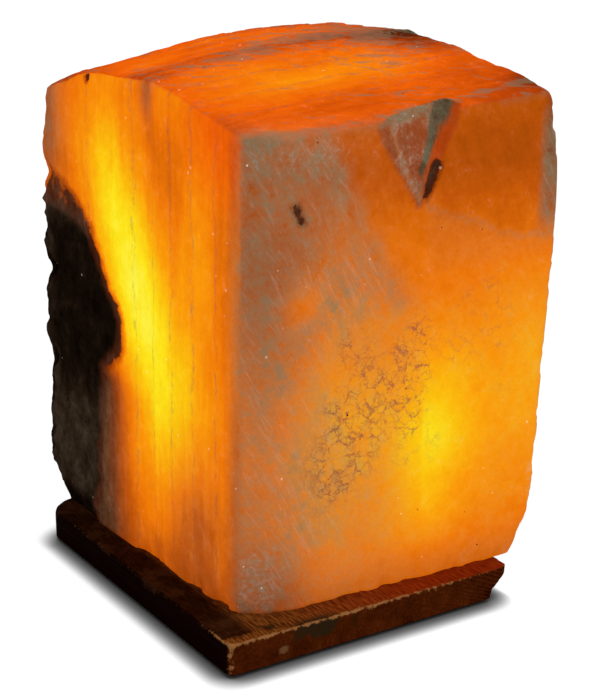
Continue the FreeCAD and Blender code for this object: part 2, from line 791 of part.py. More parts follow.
# ---------------------------------------------------------------------------------------------
# Spring clips: a steel band round the cap with three wings that bow out to the slab's bore
# ---------------------------------------------------------------------------------------------

CLIP_INNER = CAP_OUTER
CLIP_OUTER = "(" + CLIP_INNER + " + sizes.clip_thickness)"
BAND_TOP = "(" + SEAT + " + sizes.clip_height)"


def spring_clips():
    band = turned("clip_band", [
        (CLIP_INNER, SEAT),
        (CLIP_OUTER, SEAT),
        (CLIP_OUTER, BAND_TOP),
        (CLIP_INNER, BAND_TOP),
    ])
    bow_at = BAND_TOP + " + sizes.clip_height"
    wings = turned("clip_wings", [
        (CLIP_INNER, BAND_TOP + " - sizes.clip_thickness"),
        (CLIP_OUTER, BAND_TOP + " - sizes.clip_thickness"),
        ("sizes.clip_bow", bow_at),
        ("sizes.clip_tip + sizes.clip_thickness", SEAT + " + sizes.clip_rise"),
        ("sizes.clip_tip", SEAT + " + sizes.clip_rise"),
        ("sizes.clip_bow - sizes.clip_thickness", bow_at),
        (CLIP_INNER, BAND_TOP),
    ])
    blades = []
    blade_size = ("sizes.clip_bow + " + MARGIN, "sizes.clip_width", SEAT + " + 2 * sizes.clip_rise")
    for index, turn in enumerate((90, 210, 330)):
        corner = (
            "%s + sin(%d) * sizes.clip_width / 2" % (AXIS_X, turn),
            "%s - cos(%d) * sizes.clip_width / 2" % (AXIS_Y, turn),
            "0",
        )
        blades.append(box("clip_blade_%d" % index, corner, blade_size, turn))
    cut_wings = common("clip_wing_blades", wings, fuse("clip_blades", blades))
    return fuse("clips", [band, cut_wings])


node("spring_clips", spring_clips())

# ---------------------------------------------------------------------------------------------
# Lamp: contact, insulator, threaded cap, glass, stem, wires and filament
# ---------------------------------------------------------------------------------------------

CAP_BORE = "sizes.lamp_cap_bore / 2"
RIM = "sizes.lamp_cap_rim / 2"
TIP_RADIUS = "sizes.lamp_tip / 2"

node("bulb_contact", turned("contact", [
    ("0", TIP),
    (TIP_RADIUS + " - sizes.lamp_tip_height / 2", TIP),
    (TIP_RADIUS, TIP + " + sizes.lamp_tip_height / 2"),
    (TIP_RADIUS, INSULATOR),
    ("0", INSULATOR),
]))

node("bulb_insulator", turned("insulator", [
    ("sizes.wire_bore / 2", INSULATOR),
    ("sizes.insulator_end / 2", INSULATOR),
    (ROOT + " - 2 * sizes.thread_clearance", CAP_END),
    (CAP_BORE, CAP_END),
    (CAP_BORE, CAP_END + " + sizes.insulator_plug"),
    ("sizes.wire_bore / 2", CAP_END + " + sizes.insulator_plug"),
]))


def bulb_cap():
    body = turned("lamp_cap", [
        (CAP_BORE, CAP_END),
        (CREST, CAP_END),
        (CREST, FLARE),
        (RIM, SKIRT),
        (RIM, SKIRT_TOP),
        (RIM + " - sizes.lamp_cap_wall", SKIRT_TOP),
        (RIM + " - sizes.lamp_cap_wall", SKIRT),
        (CAP_BORE, FLARE),
    ])
    section = thread_section(CREST + " + sizes.thread_clearance * 4", ROOT, GROOVE_START, "0")
    height = "%s - %s - sizes.thread_mouth" % (FLARE, GROOVE_START)
    threaded(body, "PartDesign::SubtractiveHelix", "lamp_cap_thread", section, height)
    return body


node("bulb_cap", bulb_cap())

GLASS = "sizes.glass_bore / 2"
GLASS_INNER = "(" + GLASS + " - sizes.glass_wall)"
NECK_INNER = "(" + NECK + " - sizes.glass_wall)"
node("bulb_glass", turned("glass", [
    (NECK_INNER, SKIRT),
    (NECK, SKIRT),
    (NECK, SKIRT_TOP),
    (GLASS, SHOULDER),
    (GLASS, DOME),
    ("0", DOME + " + " + GLASS),
    ("0", DOME + " + " + GLASS_INNER),
    (GLASS_INNER, DOME),
    (GLASS_INNER, SHOULDER),
    (NECK_INNER, SKIRT_TOP),
], {4: ("0", DOME, "anticlockwise"), 6: ("0", DOME, "clockwise")}))

node("bulb_stem", turned("stem", [
    ("0", SKIRT),
    (NECK_INNER, SKIRT),
    (NECK_INNER, SKIRT + " + sizes.glass_wall"),
    ("sizes.stem_waist / 2", SKIRT + " + sizes.stem_base"),
    ("sizes.stem_bore / 2", STEM_TOP),
    ("0", STEM_TOP),
]))


def wire(name, runs):
    """Bent round wires: straight rods between the points, with a ball at each bend."""
    radius = number("sizes.wire_bore") / 2
    pieces = []
    for points in runs:
        for start, end in zip(points, points[1:]):
            along = end - start
            pieces.append(Part.makeCylinder(radius, along.Length, start, along))
        for bend in points[1:-1]:
            pieces.append(Part.makeSphere(radius, bend))
    item = doc.addObject("Part::Feature", name)
    item.Shape = pieces[0].multiFuse(pieces[1:]).removeSplitter()
    place(item, LAMP_AXIS)
    return item


def on_filament(angle):
    """A point of the filament's ring, seen from the lamp's axis."""
    ring = number("sizes.filament_ring") / 2
    turn = math.radians(angle)
    return FreeCAD.Vector(ring * math.cos(turn), ring * math.sin(turn), number(FILAMENT))


def lead_runs():
    """Through the stem, side by side, then out to the two ends of the filament."""
    spread = number("sizes.wire_spread") / 2
    half_gap = (360 - number("sizes.filament_sweep")) / 2
    root = FreeCAD.Vector(0, 0, number(INSULATOR))
    bend = FreeCAD.Vector(0, 0, number(CAP_END) + number("sizes.insulator_plug"))
    solder = FreeCAD.Vector(-number(CAP_BORE) + number("sizes.wire_bore"), 0, number(FLARE))
    runs = []
    for side, start in ((1, [root, bend]), (-1, [solder])):
        low = FreeCAD.Vector(side * spread, 0, number(SKIRT))
        high = FreeCAD.Vector(side * spread, 0, number(STEM_TOP))
        runs.append(start + [low, high, on_filament(270 + side * half_gap)])
    return runs


def support_runs():
    """From the top of the stem out to three places round the filament."""
    foot = FreeCAD.Vector(0, 0, number(STEM_TOP) - number("sizes.stem_bore"))
    head = FreeCAD.Vector(0, 0, number(STEM_TOP))
    return [[foot, head, on_filament(angle)] for angle in (30, 90, 150)]


node("lead_wires", wire("leads", lead_runs()))
node("support_wires", wire("supports", support_runs()))


def filament():
    coil = doc.addObject("Part::Torus", "coil")
    bind(coil, {
        "Radius1": "sizes.filament_ring / 2",
        "Radius2": "sizes.filament_bore / 2",
        "Angle3": "sizes.filament_sweep",
    })
    place(coil, (AXIS_X, AXIS_Y, FILAMENT), "270 + (360 - sizes.filament_sweep) / 2")
    return coil


node("filament", filament())

# ---------------------------------------------------------------------------------------------
# Recompute, check and write one file for each sub-part
# ---------------------------------------------------------------------------------------------

doc.recompute()
for item in doc.Objects:
    if "Invalid" in item.State or "Error" in item.State:
        raise RuntimeError("%s did not build: %s" % (item.Name, item.State))
for name, item in nodes.items():
    if item.Shape.isNull() or not item.Shape.isValid() or not item.Shape.Solids:
        raise RuntimeError("%s has no sound shape" % name)
for name, item in nodes.items():
    item.Shape.exportStep(os.path.join("parts", name + ".step"))
    bounds = item.Shape.BoundBox
    print("%-16s %d solid(s) %10.1f mm3  z %.2f to %.2f" % (
        name, len(item.Shape.Solids), item.Shape.Volume, bounds.ZMin, bounds.ZMax))
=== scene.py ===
import math

import bpy
import numpy as np
from mathutils import Matrix, Vector


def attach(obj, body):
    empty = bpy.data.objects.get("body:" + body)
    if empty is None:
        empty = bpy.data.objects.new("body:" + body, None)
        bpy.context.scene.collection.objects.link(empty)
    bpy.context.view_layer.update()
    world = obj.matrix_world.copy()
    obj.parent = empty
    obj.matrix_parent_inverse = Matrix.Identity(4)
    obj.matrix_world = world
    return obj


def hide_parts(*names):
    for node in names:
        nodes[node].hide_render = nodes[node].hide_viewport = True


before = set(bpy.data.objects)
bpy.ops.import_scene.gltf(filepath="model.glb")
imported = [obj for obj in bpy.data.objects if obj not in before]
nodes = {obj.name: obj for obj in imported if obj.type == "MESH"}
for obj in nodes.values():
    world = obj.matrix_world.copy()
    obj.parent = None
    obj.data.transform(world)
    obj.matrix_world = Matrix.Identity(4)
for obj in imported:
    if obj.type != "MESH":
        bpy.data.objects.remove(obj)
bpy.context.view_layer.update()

# ------------------------------------------------------------------------------------------
# Camera: stands to the left of the lamp's front and looks a little down on it
# ------------------------------------------------------------------------------------------

camera = bpy.data.cameras.new("camera")
camera.lens = 77.14
camera_object = bpy.data.objects.new("camera", camera)
bpy.context.scene.collection.objects.link(camera_object)
camera_object.matrix_world = (
    Matrix.Translation((-0.41917, -0.67602, 0.34700))
    @ Matrix.Rotation(math.radians(-33.0), 4, "Z")
    @ Matrix.Rotation(math.radians(90 - 15.98), 4, "X")
    @ Matrix.Rotation(math.radians(0.14), 4, "Z")
)
bpy.context.scene.camera = camera_object
bpy.context.scene.view_settings.view_transform = "Standard"


# ------------------------------------------------------------------------------------------
# Studio: a white floor and white surroundings and a broad lamp on the right
# ------------------------------------------------------------------------------------------

def add(tree, kind, inputs=None, **settings):
    """Adds a shader node. inputs gives its sockets by name or number: a value or another node's
    output to link. settings are the node's own options."""
    made = tree.nodes.new(kind)
    for name, value in settings.items():
        setattr(made, name, value)
    for socket, value in (inputs or {}).items():
        if isinstance(value, bpy.types.NodeSocket):
            tree.links.new(value, made.inputs[socket])
        else:
            made.inputs[socket].default_value = value
    return made


def calc(tree, operation, first, second=0.0, third=0.0, clamp=False):
    """The output of one Math node."""
    return add(tree, "ShaderNodeMath", {0: first, 1: second, 2: third},
               operation=operation, use_clamp=clamp).outputs[0]


def shown_directly(tree):
    """A factor that is 1 where the camera sees a surface, straight, mirrored or through glass."""
    path = add(tree, "ShaderNodeLightPath")
    either = calc(tree, "ADD", path.outputs["Is Camera Ray"], path.outputs["Is Glossy Ray"])
    return calc(tree, "ADD", either, path.outputs["Is Transmission Ray"], clamp=True)


world = bpy.data.worlds.new("studio")
bpy.context.scene.world = world
world.use_nodes = True
tree = world.node_tree
tree.nodes.clear()
strength = calc(tree, "MULTIPLY_ADD", shown_directly(tree), 0.32, 0.68)
sky = add(tree, "ShaderNodeBackground", {"Color": (1, 1, 1, 1), "Strength": strength})
add(tree, "ShaderNodeOutputWorld", {"Surface": sky.outputs[0]})

sun = bpy.data.lights.new("window", "SUN")
sun.angle = math.radians(50)
sun.energy = 0.85
window = bpy.data.objects.new("window", sun)
bpy.context.scene.collection.objects.link(window)
window.rotation_euler = (Vector((0, 0, 0)) - Vector((0.75, -0.9, 1.5))).to_track_quat("-Z", "Y").to_euler()


def principled(name, inputs):
    """A material with one Principled shader. inputs may be a function of the node tree."""
    material = bpy.data.materials.new(name)
    material.use_nodes = True
    tree = material.node_tree
    tree.nodes.clear()
    shader = add(tree, "ShaderNodeBsdfPrincipled", inputs(tree) if callable(inputs) else inputs)
    add(tree, "ShaderNodeOutputMaterial", {"Surface": shader.outputs[0]})
    return material


def closed_mesh(name, points, faces, smooth=True, **carried):
    """A mesh object from its points, in millimetres, and its faces, which are turned over if the
    volume inside them comes out negative. Each carried value is kept at the points."""
    points = np.asarray(points, float)
    volume = 0.0
    for step_on in range(1, max(len(face) for face in faces) - 1):
        fan = [face for face in faces if len(face) > step_on + 1]
        first, second, third = (points[[face[k] for face in fan]] for k in (0, step_on, step_on + 1))
        volume += np.sum(np.cross(first, second) * third)
    if volume < 0:
        faces = [face[::-1] for face in faces]
    mesh = bpy.data.meshes.new(name)
    mesh.from_pydata((points * 0.001).tolist(), [], faces)
    mesh.polygons.foreach_set("use_smooth", np.full(len(mesh.polygons), smooth))
    for key, values in carried.items():
        mesh.attributes.new(key, "FLOAT", "POINT").data.foreach_set("value", values.astype(np.float32))
    mesh.update()
    made = bpy.data.objects.new(name, mesh)
    bpy.context.scene.collection.objects.link(made)
    return made


def floor_finish(tree):
    seen = shown_directly(tree)
    # painted shadow: the ambient occlusion, raised to a power, dims the floor's emission round the board, a contact
    # shadow painted in
    painted_unshadowed = add(tree, "ShaderNodeAmbientOcclusion", {"Distance": 0.0124}, samples=32).outputs["AO"]
    where = add(tree, "ShaderNodeSeparateXYZ", {0: add(tree, "ShaderNodeTexCoord").outputs["Object"]})
    # painted shadow: a mask of position thins the painted shade out past the right end and at the back
    past = calc(tree, "MAXIMUM",
                add(tree, "ShaderNodeMapRange", {0: where.outputs["X"], 1: 0.064, 2: 0.084}).outputs[0],
                add(tree, "ShaderNodeMapRange", {0: where.outputs["Y"], 1: 0.075, 2: 0.100}).outputs[0])
    painted_unshadowed = calc(tree, "POWER", painted_unshadowed, calc(tree, "MULTIPLY_ADD", past, -4.0, 5.6))
    shade = add(tree, "ShaderNodeMix", {0: seen, 6: (0.93, 0.93, 0.93, 1), 7: (0.10, 0.10, 0.10, 1)},
                data_type="RGBA")
    return {
        "Base Color": shade.outputs[2],
        "Roughness": 0.9,
        "Specular IOR Level": 0.0,
        "Alpha": calc(tree, "SUBTRACT", 1.0, add(tree, "ShaderNodeNewGeometry").outputs["Backfacing"]),
        "Emission Color": (1, 1, 1, 1),
        "Emission Strength": calc(tree, "MULTIPLY", calc(tree, "MULTIPLY", seen, painted_unshadowed), 0.95),
    }


floor = closed_mesh(
    "floor",
    [(-8000, -8000, 0), (8000, -8000, 0), (8000, 8000, 0), (-8000, 8000, 0)],
    [(0, 1, 2, 3)],
    smooth=False,
)
floor.data.materials.append(principled("studio_floor", floor_finish))

# ------------------------------------------------------------------------------------------
# Rock salt: one block split from the seam and hewn along its beds, with a notch at the brow, a
# mud inclusion on the left and a bore from below for the lamp. All its sizes are millimetres.
# ------------------------------------------------------------------------------------------

blank_low = np.array([-88.0, -112.5, 18.0])
blank_size = np.array([188.0, 231.5, 274.5])
bore_axis = np.array([-8.0, -13.0])
bore_radius = 25.0
bore_straight = 143.0
core = np.array([6.0, 3.0, 150.0])

# each hewn face: the corner of the blank that it is measured from, turn, lean, depth
hewn = (
    ((0.5, 0, 0.5), 268.1, -1.1, 5.0),
    ((0, 0.5, 0.5), 182.0, 0.7, 5.5),
    ((0, 0, 0.5), 238.2, -0.2, 20.8),
    ((1, 0.5, 0.5), 2.0, -2.4, 4.4),
    ((1, 0.5, 1), 2.0, 9.0, 13.9),
    ((1, 0.5, 0), 2.0, -20.0, 17.3),
    ((1, 0.5, 0), 2.0, -50.0, 12.8),
    ((0.5, 1, 0.5), 90.0, 1.2, 3.1),
    ((0.5, 1, 1), 90.0, 14.0, 20.7),
    ((0.5, 1, 0), 96.0, -50.0, 9.4),
    ((0.5, 0, 1), 248.2, 74.9, 33.6),
    ((0.5, 0.5, 1), 180.0, 87.8, 3.6),
    ((0, 0.5, 1), 180.0, 78.1, 21.1),
    ((0, 1, 1), 126.5, 71.4, 35.3),
    ((0.5, 1, 1), 106.7, 84.0, 7.7),
)
notch_root = np.array([16.5, -109.0, 220.0])
notch_floor, notch_wall = (280.4, 7.0), (201.2, 24.1)
plug_places = [(bore_axis[0] + x, bore_axis[1] + y) for x in (-52, 52) for y in (-65, 65)]
plug_radius, plug_top = 4.05, 48.25


def outward(turn, lean):
    """The unit vector at a compass turn from +X and a lean above the level, in degrees."""
    turn, lean = math.radians(turn), math.radians(lean)
    return np.array([
        math.cos(turn) * math.cos(lean),
        math.sin(turn) * math.cos(lean),
        math.sin(lean),
    ])


def hills(points, wavelength, seed):
    """Smooth noise from -1 to 1: a random height at each corner of a cubic lattice of that
    wavelength, blended between the corners by the smoothstep of the distance."""
    place = points / wavelength
    cell = np.floor(place).astype(np.int64)
    part = place - cell
    part = part * part * (3 - 2 * part)
    total = np.zeros(len(points))
    for corner in np.ndindex(2, 2, 2):
        key = (cell + corner) * np.array([73856093, 19349663, 83492791])
        key = key[:, 0] ^ key[:, 1] ^ key[:, 2] ^ (seed * 374761393)
        key = (key ^ (key >> 13)) * 1274126177
        height = ((key ^ (key >> 16)) & 0xFFFF) / 32767.5 - 1
        total += height * np.prod(np.where(corner, part, 1 - part), axis=1)
    return total


def rough(points, wavelength, octaves, seed):
    """Hills upon hills: each octave has half the wavelength and half the height of the last."""
    total = sum(
        hills(points, wavelength / 2 ** octave, seed + octave) / 2 ** octave
        for octave in range(octaves)
    )
    return total / (2 - 2.0 ** (1 - octaves))


def step(value, low, high):
    """0 below low, 1 above high and the smoothstep between them."""
    share = np.clip((value - low) / (high - low), 0, 1)
    return share * share * (3 - 2 * share)


def bump(points, centre, radii):
    """A round hill of height 1: the bell curve of the distance measured in the radii."""
    away = (points - np.array(centre)) / np.array(radii)
    return np.exp(-np.sum(away * away, axis=-1))


def apart(points, path):
    """The distance from each point to the nearest of a path's straight runs."""
    path = np.asarray(path, float)
    nearest = np.full(len(points), 1e9)
    for start, end in zip(path[:-1], path[1:]):
        along = end - start
        share = np.clip((points - start) @ along / (along @ along), 0, 1)
        gap = np.linalg.norm(points - start - share[:, None] * along, axis=1)
        nearest = np.minimum(nearest, gap)
    return nearest


def within(points, path):
    """Signed distance inside a closed outline: positive inside, by counting crossed sides."""
    closed = np.vstack([path, path[:1]]).astype(float)
    odd = np.zeros(len(points), bool)
    for start, end in zip(closed[:-1], closed[1:]):
        rise = end[1] - start[1] if end[1] != start[1] else 1e-9
        across = start[0] + (points[:, 1] - start[1]) * (end[0] - start[0]) / rise
        odd ^= ((start[1] > points[:, 1]) != (end[1] > points[:, 1])) & (points[:, 0] < across)
    return np.where(odd, 1, -1) * apart(points, closed)


def around_square(count):
    """Points evenly spaced round a square from -1 to 1, anticlockwise from its front left."""
    run = np.arange(count) * 4 / count
    side = run.astype(int)
    along = 2 * (run - side) - 1
    one = np.ones(count)
    return np.stack([
        np.choose(side, [along, one, -along, -one]),
        np.choose(side, [-one, along, one, -along]),
    ], axis=1)


def grid_faces(rows, columns, wrap_rows=False):
    """Quads of a grid whose columns close on themselves, and its rows too if asked."""
    row = np.arange(rows if wrap_rows else rows - 1)[:, None]
    column = np.arange(columns)[None, :]
    after, beside = (row + 1) % rows, (column + 1) % columns
    return np.stack([
        row * columns + column,
        row * columns + beside,
        after * columns + beside,
        after * columns + column,
    ], axis=-1).reshape(-1, 4)


def reach(origins, aims):
    """How far along each ray from its origin the hewn block's skin lies, as a share of the aim:
    the inverse p-norm of the distances to the faces, which rounds their edges a little. Also
    gives the outward direction and how far from an edge the point is, in millimetres."""
    facing = np.array([outward(turn, lean) for _, turn, lean, _ in hewn])
    corners = np.array([blank_low + blank_size * corner for corner, _, _, _ in hewn])
    depths = np.array([depth for _, _, _, depth in hewn])
    clear = np.sum(facing * corners, axis=1) - depths - origins @ facing.T
    towards = aims @ facing.T
    shares = np.where(towards > 1e-6, clear / np.maximum(towards, 1e-6), 1e6)
    power = 80.0
    share = np.sum(shares ** -power, axis=1) ** (-1 / power)
    away = (share[:, None] / shares) ** power @ facing
    ordered = np.sort(shares, axis=1)
    edge = (ordered[:, 1] - ordered[:, 0]) * np.linalg.norm(aims, axis=1)
    return share, away / np.linalg.norm(away, axis=1)[:, None], edge


columns = 380
square = around_square(columns)
side_rows, top_rows, under_rows, bore_rows, dome_rows = 132, 46, 22, 24, 12
half = blank_size[:2] / 2
middle = blank_low[:2] + half

# the rays aim up the blank's sides and then in across its top; they start level with their aims
# below the core's height and at the core above it
rim = middle + square * half
levels = blank_low[2] + np.linspace(0, 1, side_rows) * blank_size[2]
inset = np.linspace(1, 0.012, top_rows + 1)[1:]
aims = np.concatenate([
    np.concatenate([
        np.broadcast_to(rim, (side_rows, columns, 2)),
        levels[:, None, None] * np.ones((1, columns, 1)),
    ], axis=2),
    np.concatenate([
        middle + (square * half)[None] * inset[:, None, None],
        np.full((top_rows, columns, 1), blank_low[2] + blank_size[2]),
    ], axis=2),
]).reshape(-1, 3)
origins = np.tile(core, (len(aims), 1))
origins[:, 2] = np.minimum(aims[:, 2], core[2])
aims -= origins
share, away, edge = reach(origins, aims)
skin = origins + aims * share[:, None]

left_face = step(-away[:, 0], 0.5, 0.9)
front_face = step(-away[:, 1], 0.5, 0.85)
top_face = step(away[:, 2], 0.5, 0.85)
right_face = step(away[:, 0], 0.5, 0.9)
back_face = step(away[:, 1], 0.5, 0.9)
left_view, front_view, top_view = skin[:, [1, 2]], skin[:, [0, 2]], skin[:, [0, 1]]

# the mud inclusion takes the back of the left face and turns the corner on to the back
mud_outline = np.array([
    (140, 222), (118, 216), (102, 211), (86, 207), (71, 201), (60, 193), (51, 184), (44, 175),
    (40, 166), (34, 157), (25, 150), (21, 142), (20, 132), (24, 124), (33, 118), (41, 112),
    (40, 100), (43, 88), (45, 64), (46, 44), (52, 26), (56, 0), (140, 0),
])
mud_behind = [(-60, 0), (-52, 60), (-58, 120), (-66, 190), (-140, 214), (-140, 0)]
behind = step(away[:, 1], 0.25, 0.6)
mud = np.maximum(
    within(left_view, mud_outline) * left_face - 30 * (1 - left_face),
    within(front_view, mud_behind) * behind - 30 * (1 - behind),
)
mud += 2.6 * rough(skin, 15, 4, 71)
muddy = step(mud, -3, 8)

# the beds are flat sheets across the block, which break off at different depths
bed = skin[:, 1] + 0.03 * skin[:, 0] + 1.6 * hills(skin, 60, 3)
top_beds = np.interp(
    bed, [-73.4, -72.6, -37.2, -36.4, -1.9, -0.3, 55, 56], [0, 0.7, 0.7, 1.2, 1.2, 2.3, 2.3, 1.4])
side_beds = np.interp(
    bed, [-66, -65.4, -34.4, -33.8, -15.4, -14.8, 4.4, 5.4, 60, 61],
    [0, 0.3, 0.3, 0.7, 0.7, 1.4, 1.4, 0.2, 0.2, 0.9])

depth = 0.1 + 0.6 * rough(skin, 70, 2, 11) + 0.34 * rough(skin, 13, 3, 17)
depth += (top_beds - 0.6) * top_face + (side_beds - 0.3) * (left_face + 0.6 * right_face)
depth += 0.7 * top_face * rough(skin * [0.35, 1, 1], 12, 3, 19)
depth += muddy * (0.4 + 2.2 * rough(skin, 26, 4, 29) + 0.8 * rough(skin, 6, 2, 31))
near_edge = np.exp(-(edge / 4.0) ** 2)
depth += near_edge * (np.clip(3.0 * rough(skin, 12, 4, 41), 0, 3) + np.clip(1.6 * rough(skin, 4.6, 2, 163), 0, 1.4))
low_edge = step(27 - skin[:, 2], 0, 8)
depth += low_edge * np.clip(
    3.2 * rough(skin * [1, 1, 0.4], 17, 4, 47) + 0.9
    + 2.6 * rough(skin * [1, 1, 0.3], 5, 2, 49) * step(hills(skin, 26, 51), -0.4, 0.6), 0, 5)
back_rim = np.exp(-((skin[:, 1] - 116) / 9) ** 2) * step(-away[:, 0], -0.2, 0.3)
depth += back_rim * (0.9 + 3.4 * rough(skin, 13, 4, 73) + 2.3 * rough(skin, 5, 2, 79)) * step(216 - skin[:, 2], 0, 8)
for height, drop, spread in ((212, 4.5, 5), (155, 5.5, 5), (101, 4.5, 12), (60, 2.0, 5), (178, 1.5, 4)):
    depth += drop * bump(skin, (-86, 117, height), (15, 15, spread))
depth += 4.0 * bump(skin, (96, -24, 285), (9, 6, 6)) + 2.5 * bump(skin, (98, -108, 270), (8, 10, 8))
depth += 3.0 * bump(skin, (93, -112, 27), (9, 12, 7))
comma = 1.6 - apart(front_view, [(-54.5, 220.5), (-52.8, 217), (-51, 213.5)])
sliver_outline = np.array([
    (24.4, 237.5), (25.2, 235), (22.8, 228.5), (19.6, 222), (17.8, 218.6), (15.2, 218.8), (15.8, 222.5), (19, 228.5),
    (21.6, 233.5),
])
sliver = within(front_view, sliver_outline)
pock = 2.4 - apart(left_view, [(54, 268), (54.1, 268)])
depth += (1.2 * step(comma, -1, 1.5) + 1.5 * step(sliver, -1.2, 1)) * front_face
depth += 1.5 * step(pock, -1, 1.5) * left_face
inward = away.copy()
inward[:, 2] *= step(skin[:, 2], 18, 30)
skin = skin - inward * depth[:, None]
skin = np.clip(skin, [-99.9, -112.4, 18.0], [99.9, 118.6, 291.95])
left_view, front_view, top_view = skin[:, [1, 2]], skin[:, [0, 2]], skin[:, [0, 1]]


def along(points, path, heights):
    """The height carried along a path: that of the nearest place on it, and how far it is."""
    path, best = np.asarray(path, float), np.full(len(points), 1e9)
    value = np.zeros(len(points))
    for start, end, low, high in zip(path[:-1], path[1:], heights[:-1], heights[1:]):
        run = end - start
        share = np.clip((points - start) @ run / (run @ run), 0, 1)
        gap = np.linalg.norm(points - start - share[:, None] * run, axis=1)
        value = np.where(gap < best, low + (high - low) * share, value)
        best = np.minimum(best, gap)
    return value, best


# painted glow: the bulb's light coming through the salt is painted into the skin as emission; how strongly, by the
# way to the lamp, then by what each face shows
lamp_centre = np.array([-8.0, -13.0, 95.0])
way = np.linalg.norm(skin - lamp_centre, axis=1)
x, y, z = skin.T
far_glow = 0.34 + 0.40 * np.exp(-(np.clip(way - 60, 0, None) / 75) ** 2)
far_glow += 0.10 * hills(skin * [1, 1, 0.25], 22, 83) - 0.10 * step(60 - z, 0, 40)

left_glow = np.interp(
    z, [20, 40, 75, 110, 150, 205, 240, 262, 275],
    [0.34, 0.44, 0.50, 0.49, 0.49, 0.48, 0.48, 0.51, 0.55])
strength, gap = along(
    left_view,
    [(50, 275), (46, 255), (38, 232), (24, 200), (8, 170), (-6, 140), (-20, 110), (-21, 80), (-16, 50), (-14, 25)],
    [0.05, 0.18, 0.34, 0.53, 0.58, 0.56, 0.46, 0.34, 0.24, 0.10],
)
towards_mud = left_view[:, 0] > np.interp(
    z, [50, 80, 110, 140, 170, 200, 232, 255], [-16, -21, -20, -6, 8, 24, 38, 46])
spread = np.where(towards_mud, 30, np.interp(z, [50, 110, 150, 230], [26, 42, 36, 34]))
left_glow += strength * np.exp(-(gap / spread) ** 2)
left_glow += 0.15 * bump(left_view, (-58, 180), (22, 66)) + 0.07 * bump(left_view, (-20, 262), (30, 16))
# painted shade: a dim strip by the step near the top of the left face
left_glow -= 0.16 * bump(left_view, (-8, 266), (7, 18))
left_glow -= 0.15 * step(y, 72, 110) * step(z, 200, 225)
left_glow -= 0.14 * bump(left_view, (-14, 58), (26, 28)) + 0.06 * bump(left_view, (-52, 50), (22, 30))
left_glow += 0.09 * bump(left_view, (88, 248), (16, 22))
left_glow += 0.05 * bump(left_view, (-70, 232), (16, 30)) - 0.06 * step(-y, 80, 94) * step(130 - z, 0, 40)
left_glow *= 1 - 0.66 * step(y, 6, 40) * step(122 - z, 0, 16)
left_glow -= 0.05 * step(-y, 84, 104)

front_glow = np.interp(
    z, [20, 35, 60, 95, 130, 160, 185, 212, 235, 262],
    [0.48, 0.54, 0.64, 0.70, 0.68, 0.61, 0.53, 0.46, 0.39, 0.43])
front_glow -= 0.18 * (1 - step(x, -74, -28)) * (1 - 0.5 * step(z, 200, 225))
front_glow += 0.17 * bump(front_view, (22, 92), (20, 34)) + 0.06 * bump(front_view, (84, 138), (24, 44))
front_glow += 0.08 * bump(front_view, (26, 52), (26, 18)) + 0.06 * bump(front_view, (-22, 116), (16, 16))
front_glow -= 0.02 * step(z, 210, 240) * step(x, 14, 26) + 0.11 * step(x, 86, 94) * step(z, 190, 215)
front_glow += 0.05 * bump(front_view, (-44, 180), (14, 12)) + 0.05 * (1 - step(x, -60, -20)) * step(z, 190, 230)
# the bright patch ends on its left at a crack that runs up through the block
bright = step(x - 20 - 2.5 * hills(skin, 16, 161), -1.5, 2) * bump(front_view, (32, 104), (26, 36))
front_glow += 0.09 * bright - 0.03 * bump(front_view, (-36, 222), (18, 20)) + 0.04 * bump(front_view, (-58, 66), (18, 24))
arc = np.interp(x, [14, 17, 26, 38, 48, 56, 64, 72, 80, 92], [220, 215.5, 210.5, 208, 204, 202, 197, 196, 195, 193])
arc += 1.6 * hills(skin, 7, 97) + 1.0 * hills(skin, 3.2, 98)
front_glow -= 0.03 * step(z - arc, -1, 5) * step(x, 14, 20)

top_glow = np.interp(
    y, [-110, -95, -88, -70, -45, -20, -8, 0, 6, 20, 50, 80, 115],
    [0.50, 0.53, 0.50, 0.56, 0.62, 0.60, 0.50, 0.43, 0.48, 0.57, 0.56, 0.46, 0.34])
top_glow -= 0.07 * step(x, 30, 80) + 0.09 * (1 - step(x, -84, -60)) + 0.20 * bump(top_view, (92, -98), (12, 10))
top_glow -= 0.36 * bump(top_view, (80, -16), (26, 24)) + 0.05 * bump(top_view, (46, 14), (26, 20)) + 0.12 * bump(top_view, (38, 8), (20, 10))
top_glow += 0.06 * bump(top_view, (-16, -50), (46, 14)) - 0.04 * step(-y, 80, 92) * step(x, -20, 20)

weight = np.stack([left_face, front_face, top_face, right_face + back_face + 1e-3])
glow = np.sum(weight * np.stack([left_glow, front_glow, top_glow, far_glow]), axis=0) / np.sum(weight, axis=0)

